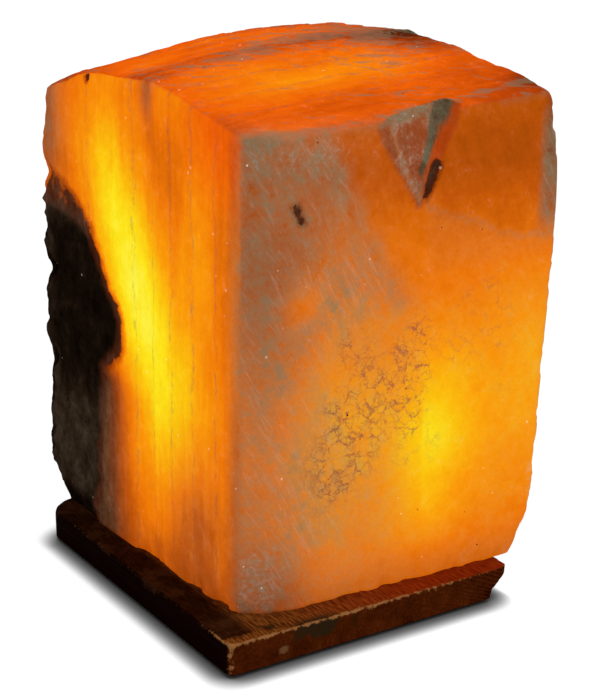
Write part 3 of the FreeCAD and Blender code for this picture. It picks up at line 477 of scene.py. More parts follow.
# where the skin is frosted or bruised grey, cracked into a web, or has mud in it
corner = step(-y, 84, 104) * (1 - step(x, -70, -55))
frost = corner * np.interp(
    z, [18, 34, 60, 100, 135, 158, 180, 202, 225, 250], [0.80, 0.72, 0.50, 0.46, 0.70, 0.82, 0.68, 0.50, 0.68, 0.72])
veil = within(front_view, [
    (-84, 254), (-38, 252), (-27, 232), (-8, 196), (8, 178), (14, 167), (-6, 163), (-30, 168), (-50, 172),
    (-84, 170)])
veil = step(veil + 5 * rough(skin, 16, 3, 111), -9, 9)
across_front = 1 - step(x, -34, 34)
streak = apart(front_view, [(-36, 244), (-27, 231), (-4, 186), (4, 168)]) + 3 * hills(skin, 12, 101)
frost += front_face * (1 - corner) * (
    (0.34 * across_front * (0.6 + 0.4 * step(z, 34, 70)) + 0.06) * (1 - veil) * step(192 - z, 0, 30) + 0.08 * across_front * step(z, 165, 192)
    + veil * (0.46 - 0.16 * bump(front_view, (-30, 205), (16, 20)) + 0.12 * bump(front_view, (-44, 238), (20, 12)))
    + 0.22 * np.exp(-(streak / 5) ** 2) * step(hills(skin * [1, 1, 0.4], 6, 103), -0.7, 0.5)
    + 0.26 * np.exp(-(apart(front_view, [(-30, 182), (-40, 166), (-56, 152), (-62, 138)]) / 8) ** 2)
    - 0.30 * bump(front_view, (-50, 172), (10, 9)) - 0.12 * bump(front_view, (-30, 140), (14, 10))
    - 0.16 * bump(front_view, (26, 92), (22, 34)) - 0.12 * bump(front_view, (-16, 112), (14, 22))
    + 0.30 * bump(front_view, (-64, 32), (12, 16)) + 0.24 * bump(front_view, (-58, 66), (20, 28))
    - 0.10 * bright + 0.08 * bump(front_view, (-26, 168), (16, 10)) + 0.05 * bump(front_view, (-34, 110), (16, 20))
    + 0.60 * step(x, 85, 92) * step(z, 186, 208) * step(264 - z, 0, 10)
    + 0.10 * step(40 - z, 0, 20)
    + 0.34 * np.exp(-((z - arc) / 1.7) ** 2) * step(x, 14, 20) + 0.10 * step(arc - z, 0, 3) * step(x, 16, 24) * step(z, 176, 190)
)
# the grey strip at (-8, 268) on the left face is painted shade by the step near the top
frost += left_face * (
    0.62 * bump(left_view, (104, 248), (18, 28)) + 0.45 * bump(left_view, (-8, 268), (6, 14))
    + 0.26 * step(y, 8, 40) * step(116 - z, 0, 16) + 0.24 * step(-y, 80, 94) * step(232 - z, 0, 30)
    + 0.05 * step(44 - z, 0, 20) + 0.16 * bump(left_view, (-56, 52), (24, 34))
)
band = apart(top_view, [(-81, -9), (-73, -5), (-52, -4), (-33, -8), (-20, 0), (-6, 4), (11, 6)])
patches = np.maximum.reduce([
    within(top_view, outline) for outline in (
        [(22, 4), (30, 0), (41, 3), (47, 9), (40, 17), (27, 15)],
        [(44, -9), (52, -12), (66, -4), (68, 6), (58, 6), (48, -2)],
        [(18, -34), (30, -30), (52, -38), (58, -46), (40, -56), (20, -50), (14, -42)])
])
frost += top_face * (
    0.40 * np.exp(-(band / 10) ** 2) + 0.40 * step(patches, -5, 4) * (1 - 0.5 * step(-y, 24, 30))
    + 0.24 * bump(top_view, (40, -20), (60, 26)) + 0.56 * bump(top_view, (50, 26), (46, 24))
    + 0.30 * step(y, 60, 110) + 0.14 - 0.2 * bump(top_view, (-14, -46), (46, 18))
)
frost += (right_face + back_face) * (
    0.34 * step(rough(skin * [1, 1, 0.6], 48, 4, 151), 0.05, 0.6) + 0.20 * step(z, 236, 262)
    + 0.30 * step(30 - z, 0, 14)
)
brow_line = apart(skin, [(-74, -97, 250), (-50, -104, 254), (6, -105, 258), (34, -103, 264), (96, -98, 270)])
frost += 0.60 * np.exp(-((brow_line + 1.5 * hills(skin, 8, 119)) / 3.6) ** 2)
frost += 0.25 * near_edge * (1 - corner) * (1 - left_face * front_face) * (x > 60)
frost = np.clip(frost, 0, 1)
web = front_face * (
    1.1 * bump(front_view, (-24, 116), (13, 34)) + 0.9 * bump(front_view, (2, 128), (16, 24))
    + 0.7 * bump(front_view, (15, 138), (9, 22)) + 0.45 * bump(front_view, (-36, 84), (14, 20))
    + 0.34 * bump(front_view, (46, 160), (24, 30)) + 0.3 * bump(front_view, (70, 130), (14, 24))
    + 0.3 * bump(front_view, (10, 96), (20, 20))
)
# loose white crystal: at the low left corner and in bruises under the brow
crumbs = front_face * (
    1.2 * bump(front_view, (-73, 31), (11, 20)) + 0.55 * bump(front_view, (-48, 244), (26, 7))
    + 0.30 * bump(front_view, (-76, 246), (6, 30)) + 0.4 * bump(front_view, (92, 60), (4, 12))
)
# where the light comes through redder than its strength alone would have it
ruddy = top_face * (1.0 - 0.5 * bump(top_view, (-8, -46), (46, 24)))
ruddy += 0.8 * left_face * step(z, 200, 240) * step(-y, 36, 70) + 0.25 * left_face * step(z, 225, 262)
mud = np.where(mud > 0, mud * (1 - 0.87 * step(z, 176, 200)), mud)
mud = np.maximum(mud, np.stack([comma * 2 * front_face, (sliver + 0.6) * 2 * front_face]).max(axis=0) - 30 * (1 - front_face))
mud = np.maximum(mud, pock * 2 - 30 * (1 - left_face))
pale = step(112 - z, 0, 50) * left_face + 0.6 * step(y, 96, 112) + 0.75 * np.exp(-((mud - 3) / 4) ** 2)
pale += 0.5 * bump(left_view, (84, 196), (40, 20)) - 0.9 * step(34 - z, 0, 10) * left_face
pale += 0.35 * bump(left_view, (70, 72), (34, 34))
paint = {
    "glow": glow, "mud": np.clip(mud / 30, -1, 1), "frost": frost, "web": web,
    "front": front_face, "pale": np.clip(pale, 0, 1), "ruddy": np.clip(ruddy, 0, 1), "crumbs": crumbs,
    "top": top_face * step(z, 250, 262),
}


def bore_surface():
    """From the dome's crown down the bore's wall to its mouth: rings whose radius follows a
    quarter circle and then stays, wavering a little with the drill's marks."""
    angle = np.arctan2(square[:, 1] * half[1], square[:, 0] * half[0])
    lean = np.linspace(math.pi / 2, 0, dome_rows + 1)[:-1]
    radii = np.concatenate([bore_radius * np.cos(lean), np.full(bore_rows, bore_radius)])
    radii[0] = 0.4
    heights = np.concatenate([
        bore_straight + bore_radius * np.sin(lean),
        np.linspace(bore_straight, blank_low[2], bore_rows),
    ])
    ring = np.stack([np.cos(angle), np.sin(angle)], axis=1)
    flat = bore_axis + ring[None] * radii[:, None, None]
    points = np.concatenate([
        flat, heights[:, None, None] * np.ones((1, columns, 1)),
    ], axis=2).reshape(-1, 3)
    marks = 0.25 * rough(points * [1, 1, 4], 9, 3, 53)
    marks *= step(points[:, 2], blank_low[2], blank_low[2] + 4)
    out = points - np.append(bore_axis, 0)
    out[:, 2] = np.clip(points[:, 2] - bore_straight, 0, None)
    out /= np.maximum(np.linalg.norm(out, axis=1), 1e-6)[:, None]
    return points + out * marks[:, None]


bore = bore_surface()
mouth, foot = bore[-columns:], skin[:columns]
blend = np.linspace(0, 1, under_rows + 1)[1:-1]
under = (mouth[None] * (1 - blend[:, None, None]) + foot[None] * blend[:, None, None]).reshape(-1, 3)
under[:, 2] += 0.5 * np.clip(rough(under, 12, 3, 59), 0, 1) * np.repeat(np.sin(blend * math.pi), columns)
points = np.concatenate([bore, under, skin])
rows = len(points) // columns
faces = grid_faces(rows, columns).tolist()
faces.append(list(range(columns))[::-1])
faces.append(list(range((rows - 1) * columns, rows * columns)))
unseen = {"glow": 0.9, "mud": -1.0}
inner = len(points) - len(skin)
salt = closed_mesh("salt", points, faces, **{
    name: np.concatenate([np.full(inner, unseen.get(name, 0.0)), values])
    for name, values in paint.items()
})


def hollowed(piece, cutters):
    """Takes closed cutters out of a piece with Boolean modifiers and removes the cutters."""
    for cutter in cutters:
        cut = piece.modifiers.new("hole", "BOOLEAN")
        cut.operation = "DIFFERENCE"
        cut.solver = "EXACT"
        cut.object = cutter
    cut_mesh = bpy.data.meshes.new_from_object(
        piece.evaluated_get(bpy.context.evaluated_depsgraph_get()))
    piece.modifiers.clear()
    piece.data = cut_mesh
    for cutter in cutters:
        bpy.data.objects.remove(cutter)


def turned(name, centre, profile, sides=32):
    """A closed body of revolution about an upright axis: circles of the profile's radii at its
    heights, with a flat cap at each end."""
    turn = np.arange(sides) * math.tau / sides
    radii, heights = np.array(profile, float).T
    points = np.stack([
        centre[0] + radii[:, None] * np.cos(turn),
        centre[1] + radii[:, None] * np.sin(turn),
        heights[:, None] * np.ones(sides),
    ], axis=-1).reshape(-1, 3)
    faces = grid_faces(len(profile), sides).tolist()
    faces.append(list(range(sides))[::-1])
    faces.append(list(range((len(profile) - 1) * sides, len(profile) * sides)))
    return closed_mesh(name, points, faces)


def notch_wedge():
    """The chip that is missing at the brow: a sheet bent along the root line, lying on the floor
    plane on one side of it and on the wall plane on the other, swept outwards to a solid."""
    floor_away, wall_away = outward(*notch_floor), outward(*notch_wall)
    root = np.cross(wall_away, floor_away)
    root *= np.sign(root[2]) / np.linalg.norm(root)
    on_floor, on_wall = np.cross(floor_away, root), np.cross(wall_away, root)
    on_floor *= np.sign(on_floor @ wall_away)
    on_wall *= np.sign(on_wall @ floor_away)
    up, across = np.meshgrid(np.arange(-12, 76, 1.1), np.linspace(-56, 56, 103), indexing="ij")
    up, across = up.reshape(-1, 1), across.reshape(-1, 1)
    sheet = notch_root + up * root + np.where(across < 0, -across * on_floor, across * on_wall)
    waver = 0.5 * rough(sheet, 14, 3, 91) + 0.3 * rough(sheet, 4, 2, 93)
    sheet += waver[:, None] * np.where(across < 0, floor_away, wall_away)
    rows, columns = 80, 103
    front = np.arange(rows * columns).reshape(rows, columns)
    back = front + rows * columns
    points = np.concatenate([sheet, sheet + (floor_away + wall_away) * 45])

    def quads(grid):
        return np.stack([grid[:-1, :-1], grid[:-1, 1:], grid[1:, 1:], grid[1:, :-1]], axis=-1).reshape(-1, 4)

    def strip(inner, outer):
        return np.stack([inner[:-1], outer[:-1], outer[1:], inner[1:]], axis=-1)

    faces = np.concatenate([
        quads(front)[:, ::-1], quads(back), strip(front[0], back[0])[:, ::-1],
        strip(front[-1], back[-1]), strip(front[:, 0], back[:, 0]), strip(front[:, -1], back[:, -1])[:, ::-1],
    ]).tolist()
    return closed_mesh("notch", points, faces)


hollowed(salt, [notch_wedge()] + [
    turned("socket", place, [(plug_radius, 16.0), (plug_radius, plug_top)], 24) for place in plug_places
])

# inside the chip the floor is brown, grey where it meets the top, with a grey wedge by its root;
# past the wedge the wall glows, and a dark sliver of mud lies across it
cut_points = np.empty(len(salt.data.vertices) * 3, np.float32)
salt.data.vertices.foreach_get("co", cut_points)
cut_points = cut_points.reshape(-1, 3) * 1000.0
past_floor = (cut_points - notch_root) @ outward(*notch_floor)
past_wall = (cut_points - notch_root) @ outward(*notch_wall)
near = (cut_points[:, 2] > 205) & (cut_points[:, 1] < -80) & (np.abs(cut_points[:, 0] - 16) < 34)
on_floor = near * step(1.5 - np.abs(past_floor), 0, 0.5) * step(past_wall, -0.8, 0.2)
on_wall = near * step(1.5 - np.abs(past_wall), 0, 0.5) * step(past_floor, -0.8, 0.2)
cut_view = cut_points[:, [0, 2]]
wedge = within(cut_view, [
    (25.5, 262), (18.5, 243), (14, 232), (14.6, 229), (20.5, 236), (26, 244.5), (33, 257), (40, 272), (30, 272)])
wedge = step(wedge + 1.3 * rough(cut_points, 7, 3, 131), -0.8, 1.0)
capped = step(cut_points[:, 2] - 4 * rough(cut_points, 9, 2, 133), 253, 258) * (1 - wedge)
rimmed = np.exp(-(apart(cut_view, [(-3, 254), (-1, 247), (4, 236), (10.5, 223.5), (15, 219)]) / 1.3) ** 2)
darkened = step(within(cut_view, sliver_outline) + 0.5 * rough(cut_points, 4, 2, 137), -0.5, 0.5)
speckled = 0.16 * rough(cut_points, 5, 3, 139)
for name, floor_value, wall_value, wedge_value, cap_value, rim_value in (
    ("glow", 0.27, 0.33, 0.10, 0.30, 0.40), ("frost", 0.30 + speckled, 0.06, 0.62, 0.80, 0.75),
    ("mud", -0.30, -0.40, -0.10, -0.40, -0.40), ("pale", 0.4, 0.4, 0.8, 0.4, 0.4),
    ("web", 0, 0, 0, 0, 0), ("front", 0.6, 0.6, 0.6, 0.6, 0.6), ("ruddy", 0.5, 0.8, 0.0, 0.0, 0.0),
    ("crumbs", 0.35, 0.0, 0.1, 0.5, 0.5), ("top", 0, 0, 0, 0, 0),
):
    held = np.empty(len(cut_points), np.float32)
    salt.data.attributes[name].data.foreach_get("value", held)
    floor_value = floor_value * (1 - capped) + cap_value * capped
    floor_value = floor_value * (1 - rimmed) + rim_value * rimmed
    floor_value = floor_value * (1 - wedge) + wedge_value * wedge
    wall_value = wall_value * (1 - wedge) + wedge_value * wedge
    if name in ("mud", "pale"):
        wall_value = wall_value * (1 - darkened) + (0.14 if name == "mud" else 1.0) * darkened
    held = held * (1 - on_floor) + floor_value * on_floor
    held = held * (1 - on_wall) + wall_value * on_wall
    salt.data.attributes[name].data.foreach_set("value", held.astype(np.float32))


def span(tree, value, low, high, bottom=0.0, top=1.0):
    """The smoothstep of a value between low and high, brought to bottom and top."""
    return add(tree, "ShaderNodeMapRange", {
        "Value": value, "From Min": low, "From Max": high, "To Min": bottom, "To Max": top,
    }, interpolation_type="SMOOTHSTEP").outputs["Result"]


def tint(tree, factor, first, second, blend="MIX"):
    """One colour over another by a factor."""
    return add(tree, "ShaderNodeMix", {0: factor, 6: first, 7: second},
               data_type="RGBA", blend_type=blend, clamp_factor=True).outputs[2]


def place(tree, scale, turn=(0, 0, 0), shift=(0, 0, 0)):
    """Object coordinates turned and then stretched, so that a pattern lies along a direction."""
    where = add(tree, "ShaderNodeTexCoord").outputs["Object"]
    where = add(tree, "ShaderNodeMapping", {
        "Vector": where, "Rotation": tuple(math.radians(angle) for angle in turn),
    }).outputs[0]
    return add(tree, "ShaderNodeMapping", {
        "Vector": where, "Scale": scale, "Location": shift,
    }).outputs[0]


def cloud(tree, where, scale, detail=3.0, roughness=0.55, distortion=0.0):
    """Fractal noise from 0 to 1 with its mean at 0.5."""
    return add(tree, "ShaderNodeTexNoise", {
        "Vector": where, "Scale": scale, "Detail": detail, "Roughness": roughness,
        "Distortion": distortion,
    }).outputs["Fac"]


def carried(tree, name):
    """A value that the mesh carries from point to point."""
    return add(tree, "ShaderNodeAttribute", attribute_name=name).outputs["Fac"]


def stops(tree, value, marks):
    """A colour ramp with its marks at the given places."""
    ramp = add(tree, "ShaderNodeValToRGB", {"Fac": value})
    elements = ramp.color_ramp.elements
    while len(elements) < len(marks):
        elements.new(0.5)
    for element, (position, colour) in zip(elements, marks):
        element.position = position
        element.color = (*colour, 1)
    return ramp.outputs["Color"]


def salt_finish(tree):
    evenly = place(tree, (1, 1, 1))
    front = carried(tree, "front")
    beside = calc(tree, "SUBTRACT", 1.0, front)

    def ripple(where, scale, detail, roughness=0.6, distortion=0.0):
        """Noise about zero."""
        return calc(tree, "SUBTRACT", cloud(tree, where, scale, detail, roughness, distortion), 0.5)

    swing = ripple(evenly, 42, 4)
    mottle = ripple(evenly, 120, 7, 0.68, 0.4)
    grain = ripple(evenly, 520, 4, 0.7)
    bedded = calc(tree, "MULTIPLY", ripple(place(tree, (26, 130, 17)), 1.0, 5, 0.6, 0.7), beside)
    bedded_wide = calc(tree, "MULTIPLY", ripple(place(tree, (12, 52, 6), shift=(3, 1, 2)), 1.0, 2), beside)
    slanted = calc(tree, "MULTIPLY", ripple(place(tree, (150, 60, 26), turn=(0, 27.8, 0)), 1.0, 5, 0.65), front)
    hair = cloud(tree, place(tree, (420, 90, 52), turn=(0, 27.8, 0), shift=(7, 3, 1)), 1.0, 4, 0.7, 0.9)
    along_top = ripple(place(tree, (46, 170, 80), turn=(0, 0, 33)), 1.0, 6, 0.68, 0.9)

    # mud: solid within, a skin of pale silt on its rims, and a red glimmer where it is thin
    mud_depth = calc(tree, "MULTIPLY_ADD", ripple(evenly, 170, 7, 0.72), 0.34, carried(tree, "mud"))
    mud = span(tree, mud_depth, -0.03, 0.035)
    shade = span(tree, mud_depth, -0.20, 0.0)
    ember = stops(tree, mud_depth, [
        (0.0, (0.060, 0.008, 0.0010)), (0.13, (0.032, 0.0036, 0.0006)), (0.28, (0.0, 0.0, 0.0)),
    ])

    # haze: grey veils of bruised crystal that cover the light
    frosted = carried(tree, "frost")
    speck = ripple(evenly, 210, 8, 0.78)
    drift = calc(tree, "ADD", calc(tree, "MULTIPLY", slanted, 1.1), calc(tree, "MULTIPLY", bedded, 1.5))
    uneven = calc(tree, "MULTIPLY_ADD", speck, 2.4, calc(tree, "MULTIPLY_ADD", mottle, 2.4, drift))
    uneven = calc(tree, "MULTIPLY_ADD", swing, 0.8, uneven)
    frost = calc(tree, "MULTIPLY_ADD", frosted, uneven, frosted)
    frost = calc(tree, "MULTIPLY_ADD", uneven, calc(tree, "MULTIPLY", front, 0.09), frost, clamp=True)
    # across the top the haze lies in streaks with sharp edges
    streaks = span(tree, calc(tree, "MULTIPLY_ADD", along_top, 3.2, frosted), 0.40, 0.54, 0.0, 0.62)
    frost = add(tree, "ShaderNodeMix", {0: carried(tree, "top"), 2: frost, 3: streaks}).outputs[0]
    hairs = calc(tree, "MULTIPLY", span(tree, hair, 0.53, 0.66), front)
    hairs = calc(tree, "MULTIPLY", hairs, span(tree, frosted, 0.2, 0.6))

    # cracks: the edges of bent cells, broken off here and there
    bend = add(tree, "ShaderNodeTexNoise", {"Vector": evenly, "Scale": 105.0, "Detail": 7.0, "Roughness": 0.74})
    bend = add(tree, "ShaderNodeVectorMath", {0: bend.outputs["Color"], "Scale": 0.0125}, operation="SCALE")
    bent = add(tree, "ShaderNodeVectorMath", {0: evenly, 1: bend.outputs[0]}, operation="ADD").outputs[0]
    frayed = ripple(evenly, 210, 4, 0.65)
    cracks = []
    for scale, width in ((112.0, 0.064), (240.0, 0.078)):
        line = add(tree, "ShaderNodeTexVoronoi", {"Vector": bent, "Scale": scale}, feature="DISTANCE_TO_EDGE")
        reach_in = calc(tree, "MULTIPLY_ADD", frayed, 0.15, line.outputs["Distance"])
        cracks.append(span(tree, reach_in, 0.0, width, 1.0, 0.0))
    cell = add(tree, "ShaderNodeTexVoronoi", {"Vector": bent, "Scale": 112.0})
    facet = add(tree, "ShaderNodeSeparateColor", {"Color": cell.outputs["Color"]}).outputs[0]
    facet = calc(tree, "SUBTRACT", facet, 0.5)
    broken = span(tree, cloud(tree, evenly, 120, 5, 0.7), 0.42, 0.56)
    webbed = span(tree, calc(tree, "MULTIPLY_ADD", swing, 1.3, carried(tree, "web")), 0.08, 0.70)
    crack = calc(tree, "MAXIMUM", calc(tree, "MULTIPLY", cracks[0], span(tree, broken, 0.0, 0.7, 0.25, 1.0)),
                 calc(tree, "MULTIPLY", cracks[1], calc(tree, "MULTIPLY", broken, 0.8)))
    crack = calc(tree, "MULTIPLY", crack, webbed)

    spots = add(tree, "ShaderNodeTexVoronoi", {"Vector": evenly, "Scale": 95.0})
    chance = add(tree, "ShaderNodeSeparateColor", {"Color": spots.outputs["Color"]})
    size = calc(tree, "MULTIPLY", chance.outputs[1], 0.065)
    pit = calc(tree, "LESS_THAN", spots.outputs["Distance"], size)
    pit = calc(tree, "MULTIPLY", pit, calc(tree, "GREATER_THAN", chance.outputs[0], 0.6))
    glints = add(tree, "ShaderNodeTexVoronoi", {"Vector": evenly, "Scale": 430.0})
    chance = add(tree, "ShaderNodeSeparateColor", {"Color": glints.outputs["Color"]})
    crumbs = carried(tree, "crumbs")
    size = calc(tree, "MULTIPLY", chance.outputs[1], 0.34)
    glint = calc(tree, "LESS_THAN", glints.outputs["Distance"], size)
    glint = calc(tree, "MULTIPLY", glint, calc(tree, "GREATER_THAN", chance.outputs[0],
                                               calc(tree, "MULTIPLY_ADD", crumbs, -0.065, 0.990)))
    glint = calc(tree, "MULTIPLY", glint, span(tree, crumbs, 0.0, 0.5, 0.3, 0.8))
    crumb = span(tree, cloud(tree, evenly, 420, 7, 0.8), 0.46, 0.66)
    crumb = calc(tree, "MULTIPLY", crumb, span(tree, calc(tree, "MULTIPLY_ADD", mottle, 2.2, crumbs), 0.10, 0.75))

    # seams: the parting lines between beds, dotted with silt
    seam = place(tree, (1 / 0.24, 1 / 0.24, 1 / 0.24), shift=(0.5, 0.5, 0))
    seam = add(tree, "ShaderNodeSeparateXYZ", {0: seam}).outputs["Y"]
    seam = calc(tree, "MULTIPLY_ADD", ripple(evenly, 38, 6, 0.74), 0.055, seam)
    marks = [(0.0, (0, 0, 0))]
    for line in (-0.074, -0.052, -0.031, -0.012, 0.007, 0.055):
        centre = line / 0.24 + 0.5
        marks += [(centre - 0.005, (0, 0, 0)), (centre, (1, 1, 1)), (centre + 0.005, (0, 0, 0))]
    dotted = span(tree, cloud(tree, place(tree, (420, 420, 120)), 1.0, 6, 0.8), 0.45, 0.57)
    seam = calc(tree, "MULTIPLY", calc(tree, "MULTIPLY", stops(tree, seam, marks), dotted), beside)

    # the painted glow: emission that stands for the bulb's light shining through the salt
    glow = carried(tree, "glow")
    for value, share in (
        (bedded, 0.17), (bedded_wide, 0.20), (slanted, 0.08), (swing, 0.14), (mottle, 0.13), (grain, 0.03),
        (calc(tree, "MULTIPLY", facet, webbed), 0.04),
    ):
        glow = calc(tree, "MULTIPLY_ADD", value, share, glow)
    glow = calc(tree, "MULTIPLY", glow, calc(tree, "MULTIPLY_ADD", shade, -0.40, 1.0))
    lit = stops(tree, calc(tree, "DIVIDE", glow, 1.1), [
        (0.0, (0.008, 0.001, 0.0002)), (0.09, (0.06, 0.008, 0.0003)), (0.182, (0.21, 0.028, 0.0005)),
        (0.364, (0.52, 0.085, 0.001)), (0.5, (0.85, 0.180, 0.001)), (0.636, (0.95, 0.31, 0.002)),
        (0.773, (0.96, 0.53, 0.003)), (0.909, (0.97, 0.77, 0.010)), (1.0, (0.98, 0.88, 0.06)),
    ])
    lit = tint(tree, carried(tree, "ruddy"), lit, (1.0, 0.62, 0.5, 1), "MULTIPLY")
    cover = calc(tree, "MULTIPLY_ADD", frost, -0.80, 1.0)
    for value, share in ((seam, 0.50), (hairs, 0.12), (pit, 0.9), (crumb, 0.25)):
        cover = calc(tree, "MULTIPLY", cover, calc(tree, "MULTIPLY_ADD", value, -share, 1.0))
    # a fine grain that lightens and darkens what shows through and what lies on top alike
    grainy = calc(tree, "MULTIPLY_ADD", mottle, 1.0, calc(tree, "MULTIPLY_ADD", speck, 1.6, grain))
    grainy = calc(tree, "MULTIPLY_ADD", grainy, calc(tree, "MULTIPLY_ADD", frosted, 0.55, 0.12), 1.0)
    cover = calc(tree, "MULTIPLY", cover, grainy)
    cover = add(tree, "ShaderNodeCombineColor", {"Red": cover, "Green": cover, "Blue": cover}).outputs[0]
    lit = tint(tree, 1.0, lit, cover, "MULTIPLY")
    lit = tint(tree, crack, lit, (0.40, 0.27, 0.40, 1), "MULTIPLY")
    lit = tint(tree, mud, lit, ember)
    lit = tint(tree, calc(tree, "MULTIPLY", glint, 0.2), lit, (0.8, 0.7, 0.55, 1))

    silt = calc(tree, "MULTIPLY_ADD", carried(tree, "pale"), 0.30, cloud(tree, evenly, 70, 8, 0.72))
    earth = stops(tree, silt, [
        (0.38, (0.0045, 0.0022, 0.0011)), (0.56, (0.0115, 0.0062, 0.0032)), (0.70, (0.026, 0.014, 0.0075)),
        (0.84, (0.050, 0.032, 0.019)), (0.98, (0.085, 0.062, 0.040)),
    ])
    colour = tint(tree, frost, (0.016, 0.009, 0.002, 1), (0.170, 0.162, 0.094, 1))
    colour = tint(tree, calc(tree, "MULTIPLY", hairs, 0.50), colour, (0.25, 0.21, 0.15, 1))
    colour = tint(tree, calc(tree, "MULTIPLY", crack, 0.75), colour, (0.140, 0.078, 0.070, 1))
    colour = tint(tree, calc(tree, "MULTIPLY", seam, 0.75), colour, (0.115, 0.070, 0.062, 1))
    colour = tint(tree, calc(tree, "MULTIPLY", crumb, 0.75), colour, (0.33, 0.29, 0.235, 1))
    colour = tint(tree, mud, colour, earth)
    colour = tint(tree, pit, colour, (0.02, 0.01, 0.006, 1))
    colour = tint(tree, calc(tree, "MULTIPLY", glint, 0.85), colour, (0.7, 0.66, 0.58, 1))

    height = calc(tree, "MULTIPLY_ADD", grain, 0.5, swing)
    height = calc(tree, "MULTIPLY_ADD", mottle, 0.5, height)
    height = calc(tree, "MULTIPLY_ADD", crack, -0.3, height)
    height = calc(tree, "MULTIPLY_ADD", pit, -0.5, height)
    height = calc(tree, "MULTIPLY_ADD", speck, calc(tree, "MULTIPLY_ADD", mud, 1.8, 0.3), height)
    bumped = add(tree, "ShaderNodeBump", {"Height": height, "Strength": 0.6, "Distance": 0.0014})
    return {
        "Base Color": colour,
        "Roughness": calc(tree, "MULTIPLY_ADD", mud, 0.15, span(tree, grain, -0.2, 0.2, 0.34, 0.6)),
        "Specular IOR Level": 0.0,
        "Coat Weight": calc(tree, "MULTIPLY_ADD", glint, 0.8, calc(tree, "MULTIPLY", hairs, 0.05)),
        "Coat Roughness": 0.25,
        "Emission Color": lit,
        "Emission Strength": 1.0,
        "Normal": bumped.outputs[0],
    }


salt.data.materials.clear()
salt.data.materials.append(principled("rock_salt", salt_finish))
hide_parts("salt_block")
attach(salt, "stand")

# the studio's floor isn't tinted by the glow
others = bpy.data.collections.new("unlit_by_the_salt")
others.objects.link(floor)
salt.light_linking.receiver_collection = others
others.collection_objects[0].light_linking.link_state = "EXCLUDE"

# ------------------------------------------------------------------------------------------
# Wood base: a waney-edged board on four rubber feet. The rock is screwed to it from below; the
# holder goes up through a bore with a wider recess, and its cord leaves along a channel.
# ------------------------------------------------------------------------------------------

board_low, board_high = 2.0, 18.0
board_left, board_right, board_front, board_back = -100.0, 76.0, -119.0, 95.0
bore_narrow, bore_wide, bore_step = 18.0, 23.0, 10.0
bark_heights = np.array([2.0, 3.3, 7.2, 7.6, 9.1, 9.5, 11.3, 11.8, 12.9, 13.4, 18.0])
bark_reach = np.array([61.0, 61.2, 63.0, 64.4, 66.0, 66.9, 68.6, 70.0, 71.0, 71.8, 72.6])


def board_share(aims, heights):
    """How far along level rays from the bore's axis the board's side lies: the inverse p-norm
    of the distances to its sides, one of which is the bark edge, stepped with the height."""
    sides = (
        (board_left, 0, 180.0), (0, board_front, -90.0), (0, board_back, 90.0),
        (69.0, board_front, -57.5), (-87.4, board_back, 131.2),
    )
    shares = []
    for x, y, turn in sides:
        facing = outward(turn, 0)[:2]
        shares.append((np.array([x, y]) - bore_axis) @ facing / np.maximum(aims @ facing, 1e-6))
    waney = np.interp(heights, bark_heights, bark_reach)
    run = bore_axis[1] + aims[:, 1] * 84 / np.maximum(np.abs(aims[:, 0]), 0.3)
    along = np.stack([run, heights * 2.5, 0 * run], axis=1)
    waney = waney + 3.4 * step(run, -119, -60) + 1.1 * rough(along, 44, 3, 61) - 0.9
    shares.append((np.minimum(waney, board_right) - bore_axis[0]) / np.maximum(aims[:, 0], 1e-6))
    shares = np.array(shares)
    shares = np.where(shares > 0, shares, 1e6)
    return np.sum((shares / 1.0) ** -90.0, axis=0) ** (-1 / 90.0)


def board_surface(columns):
    """Rings that run up the bore, out across the top, down the side, in across the underside
    to the recess and up it. Each ring is a blend between a circle and the board's outline."""
    corners = [(-100, -119), (69, -119), (76, -108), (76, 95), (-87.4, 95), (-100, 85)]
    turns = [math.atan2(y - bore_axis[1], x - bore_axis[0]) for x, y in corners]
    turn = np.sort(np.concatenate([np.arange(columns) * math.tau / columns - math.pi, turns]))
    ring = np.stack([np.cos(turn), np.sin(turn)], axis=1)
    rings = []

    def circle(radius, height):
        flat = bore_axis + ring * radius
        rings.append(np.column_stack([flat, np.full(len(ring), height)]))

    def outline(height):
        height = np.full(len(ring), height)
        return np.column_stack([bore_axis + ring * board_share(ring, height)[:, None], height])

    def across(start, end, shares):
        rings.extend(start * (1 - share) + end * share for share in shares)

    for height in (10, 12, 14, 16, board_high):
        circle(bore_narrow, height)
    near_rim = np.concatenate([np.linspace(0.03, 0.95, 26), np.linspace(0.957, 1, 9)])
    across(rings[-1], outline(board_high), near_rim)
    for height in np.concatenate([np.linspace(17.6, 14, 8), np.linspace(13.5, 2.6, 22), [board_low]]):
        rings.append(outline(height))
    circle(bore_wide, board_low)
    last = rings.pop()
    across(rings[-1], last, np.linspace(0.01, 1, 18))
    for height in (4, 6, 8, bore_step):
        circle(bore_wide, height)
    circle(bore_narrow + 2, bore_step)
    return np.concatenate(rings), len(ring)


points, columns = board_surface(560)
level = points[:, :2] - bore_axis
length = np.linalg.norm(level, axis=1)
to_top = board_high - points[:, 2]
to_side = length * (board_share(level, points[:, 2]) - 1)
to_edge = np.where(to_top < 0.05, to_side, to_top)
rim = np.exp(-(to_edge / 1.6) ** 2) * step(points[:, 2], 10, 15)
corner = np.exp(-((points[:, 0] - board_left) ** 2 + (points[:, 1] - board_front) ** 2) / 6)
wear = np.clip(1.7 * rough(points, 12, 4, 67) + 0.15, 0, 1.6)
out = level / length[:, None]
points = points - (rim * wear)[:, None] * np.column_stack([out, np.ones(len(out))]) * 0.7
points[:, :2] -= (corner * step(to_side, 3, 0))[:, None] * out * 0.8
